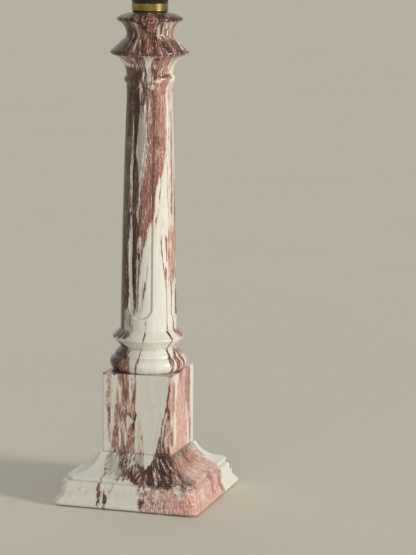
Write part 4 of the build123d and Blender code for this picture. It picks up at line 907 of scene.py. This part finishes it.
MATERIALS = {
    "marbled_glaze": marbled_glaze(),
    "felt": felt(),
    "rubber": matte("rubber", 160, (0.016, 0.016, 0.016), (0.042, 0.040, 0.038), 0.55, 0.75, 1500, 0.25),
    "steel": steel(),
    "brass": brass("brass", (0.46, 0.33, 0.1), (0.13, 0.092, 0.028), 0.2),
    "black_phenolic": phenolic(),
    "contact_brass": brass("contact_brass", (0.80, 0.60, 0.26), (0.50, 0.36, 0.15), 0.3),
    "porcelain": matte("porcelain", 110, (0.77, 0.75, 0.69), (0.68, 0.65, 0.58), 0.4, 0.6, 1200, 0.15),
}


# ---------------------------------------------------------------- pieces
def coated(piece, slot):
    piece.data.materials.clear()
    piece.data.materials.append(MATERIALS[slot])


def dressed(piece, slot, body, *replaced):
    coated(piece, slot)
    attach(piece, body)
    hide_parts(*replaced)


dressed(make_plinth(), "marbled_glaze", "lamp", "plinth")
dressed(make_column(), "marbled_glaze", "lamp", "column")

for row in frame["record"]["subparts"]:
    coated(nodes[row["node"]], row["material_slot"])


# ---------------------------------------------------------------- floor, light and camera
def make_floor():
    mesh = bpy.data.meshes.new("floor")
    reach = 20.0
    mesh.from_pydata([(-reach, -reach, 0), (reach, -reach, 0), (reach, reach, 0), (-reach, reach, 0)], [],
                     [(0, 1, 2, 3)])
    floor = placed("floor", mesh)
    n = Nodes("floor")
    cloud = n.noise(n.place(), 3.0, 4.0, 0.5)
    n.set(Base_Color=n.mix(n.spread(cloud, 0.3, 0.7), (0.82, 0.785, 0.675), (0.835, 0.80, 0.69)))
    n.set(Roughness=0.9, Specular_IOR_Level=0.0)
    mesh.materials.append(n.material)


def make_world():
    """A plain surround: one colour that the camera and the glaze see, and another that gives light."""
    world = bpy.data.worlds.new("world")
    bpy.context.scene.world = world
    world.use_nodes = True
    tree = world.node_tree
    tree.nodes.clear()
    path = tree.nodes.new("ShaderNodeLightPath")
    seen, sky = (tree.nodes.new("ShaderNodeBackground") for _ in range(2))
    seen.inputs["Color"].default_value = (0.5, 0.48, 0.4, 1.0)
    seen.inputs["Strength"].default_value = 1.0
    sky.inputs["Color"].default_value = (1.0, 0.99, 0.96, 1.0)
    sky.inputs["Strength"].default_value = 0.32
    mixed = tree.nodes.new("ShaderNodeMixShader")
    out = tree.nodes.new("ShaderNodeOutputWorld")
    direct = path.outputs["Is Camera Ray"]
    for other in ("Is Glossy Ray", "Is Transmission Ray"):
        either = tree.nodes.new("ShaderNodeMath")
        either.operation = "MAXIMUM"
        tree.links.new(direct, either.inputs[0])
        tree.links.new(path.outputs[other], either.inputs[1])
        direct = either.outputs[0]
    tree.links.new(direct, mixed.inputs[0])
    tree.links.new(sky.outputs[0], mixed.inputs[1])
    tree.links.new(seen.outputs[0], mixed.inputs[2])
    tree.links.new(mixed.outputs[0], out.inputs[0])


def make_lamp(name, azimuth, elevation, softness, strength, colour):
    """A soft even light; azimuth 0 is in front of -Y and 90 beyond +X, softness is its width in degrees,
    and a white surface square to it gets that strength of light."""
    light = bpy.data.lights.new(name, "SUN")
    light.angle = radians(softness)
    light.energy, light.color = strength * pi, colour
    a, e = radians(azimuth), radians(elevation)
    away = Vector((sin(a) * cos(e), -cos(a) * cos(e), sin(e)))
    lamp = placed(name, light)
    lamp.location = away
    lamp.rotation_mode = "QUATERNION"
    lamp.rotation_quaternion = (-away).to_track_quat("-Z", "Y")


def make_camera():
    """The photograph's viewpoint, fitted to the straight lines of the foot and die."""
    azimuth, pitch, roll = radians(16.804), radians(9.924), radians(0.5)
    distance, aside, height, focal_px, long_side_px = 2.39257, 0.05900, 0.22266, 2400.0, 555.0
    back = Vector((sin(azimuth) * cos(pitch), -cos(azimuth) * cos(pitch), sin(pitch)))
    level = Vector((cos(azimuth), sin(azimuth), 0))
    rise = back.cross(level)
    right = cos(roll) * level + sin(roll) * rise
    up = -sin(roll) * level + cos(roll) * rise
    data = bpy.data.cameras.new("camera")
    data.sensor_width = 36.0
    data.lens = focal_px * data.sensor_width / long_side_px
    data.clip_start, data.clip_end = 0.05, 60.0
    camera = placed("camera", data)
    camera.rotation_mode = "QUATERNION"
    camera.rotation_quaternion = Matrix((right, up, back)).transposed().to_quaternion()
    camera.location = aside * level + Vector((0, 0, height)) + back * distance
    bpy.context.scene.camera = camera


make_floor()
make_world()
make_lamp("key", 78, 12, 14, 0.74, (1.0, 0.97, 0.90))
make_lamp("front", 6, 8, 50, 0.2, (1.0, 0.98, 0.95))
make_lamp("back", 205, 24, 70, 0.11, (1.0, 0.98, 0.95))
make_camera()
bpy.context.scene.view_settings.view_transform = "Standard"
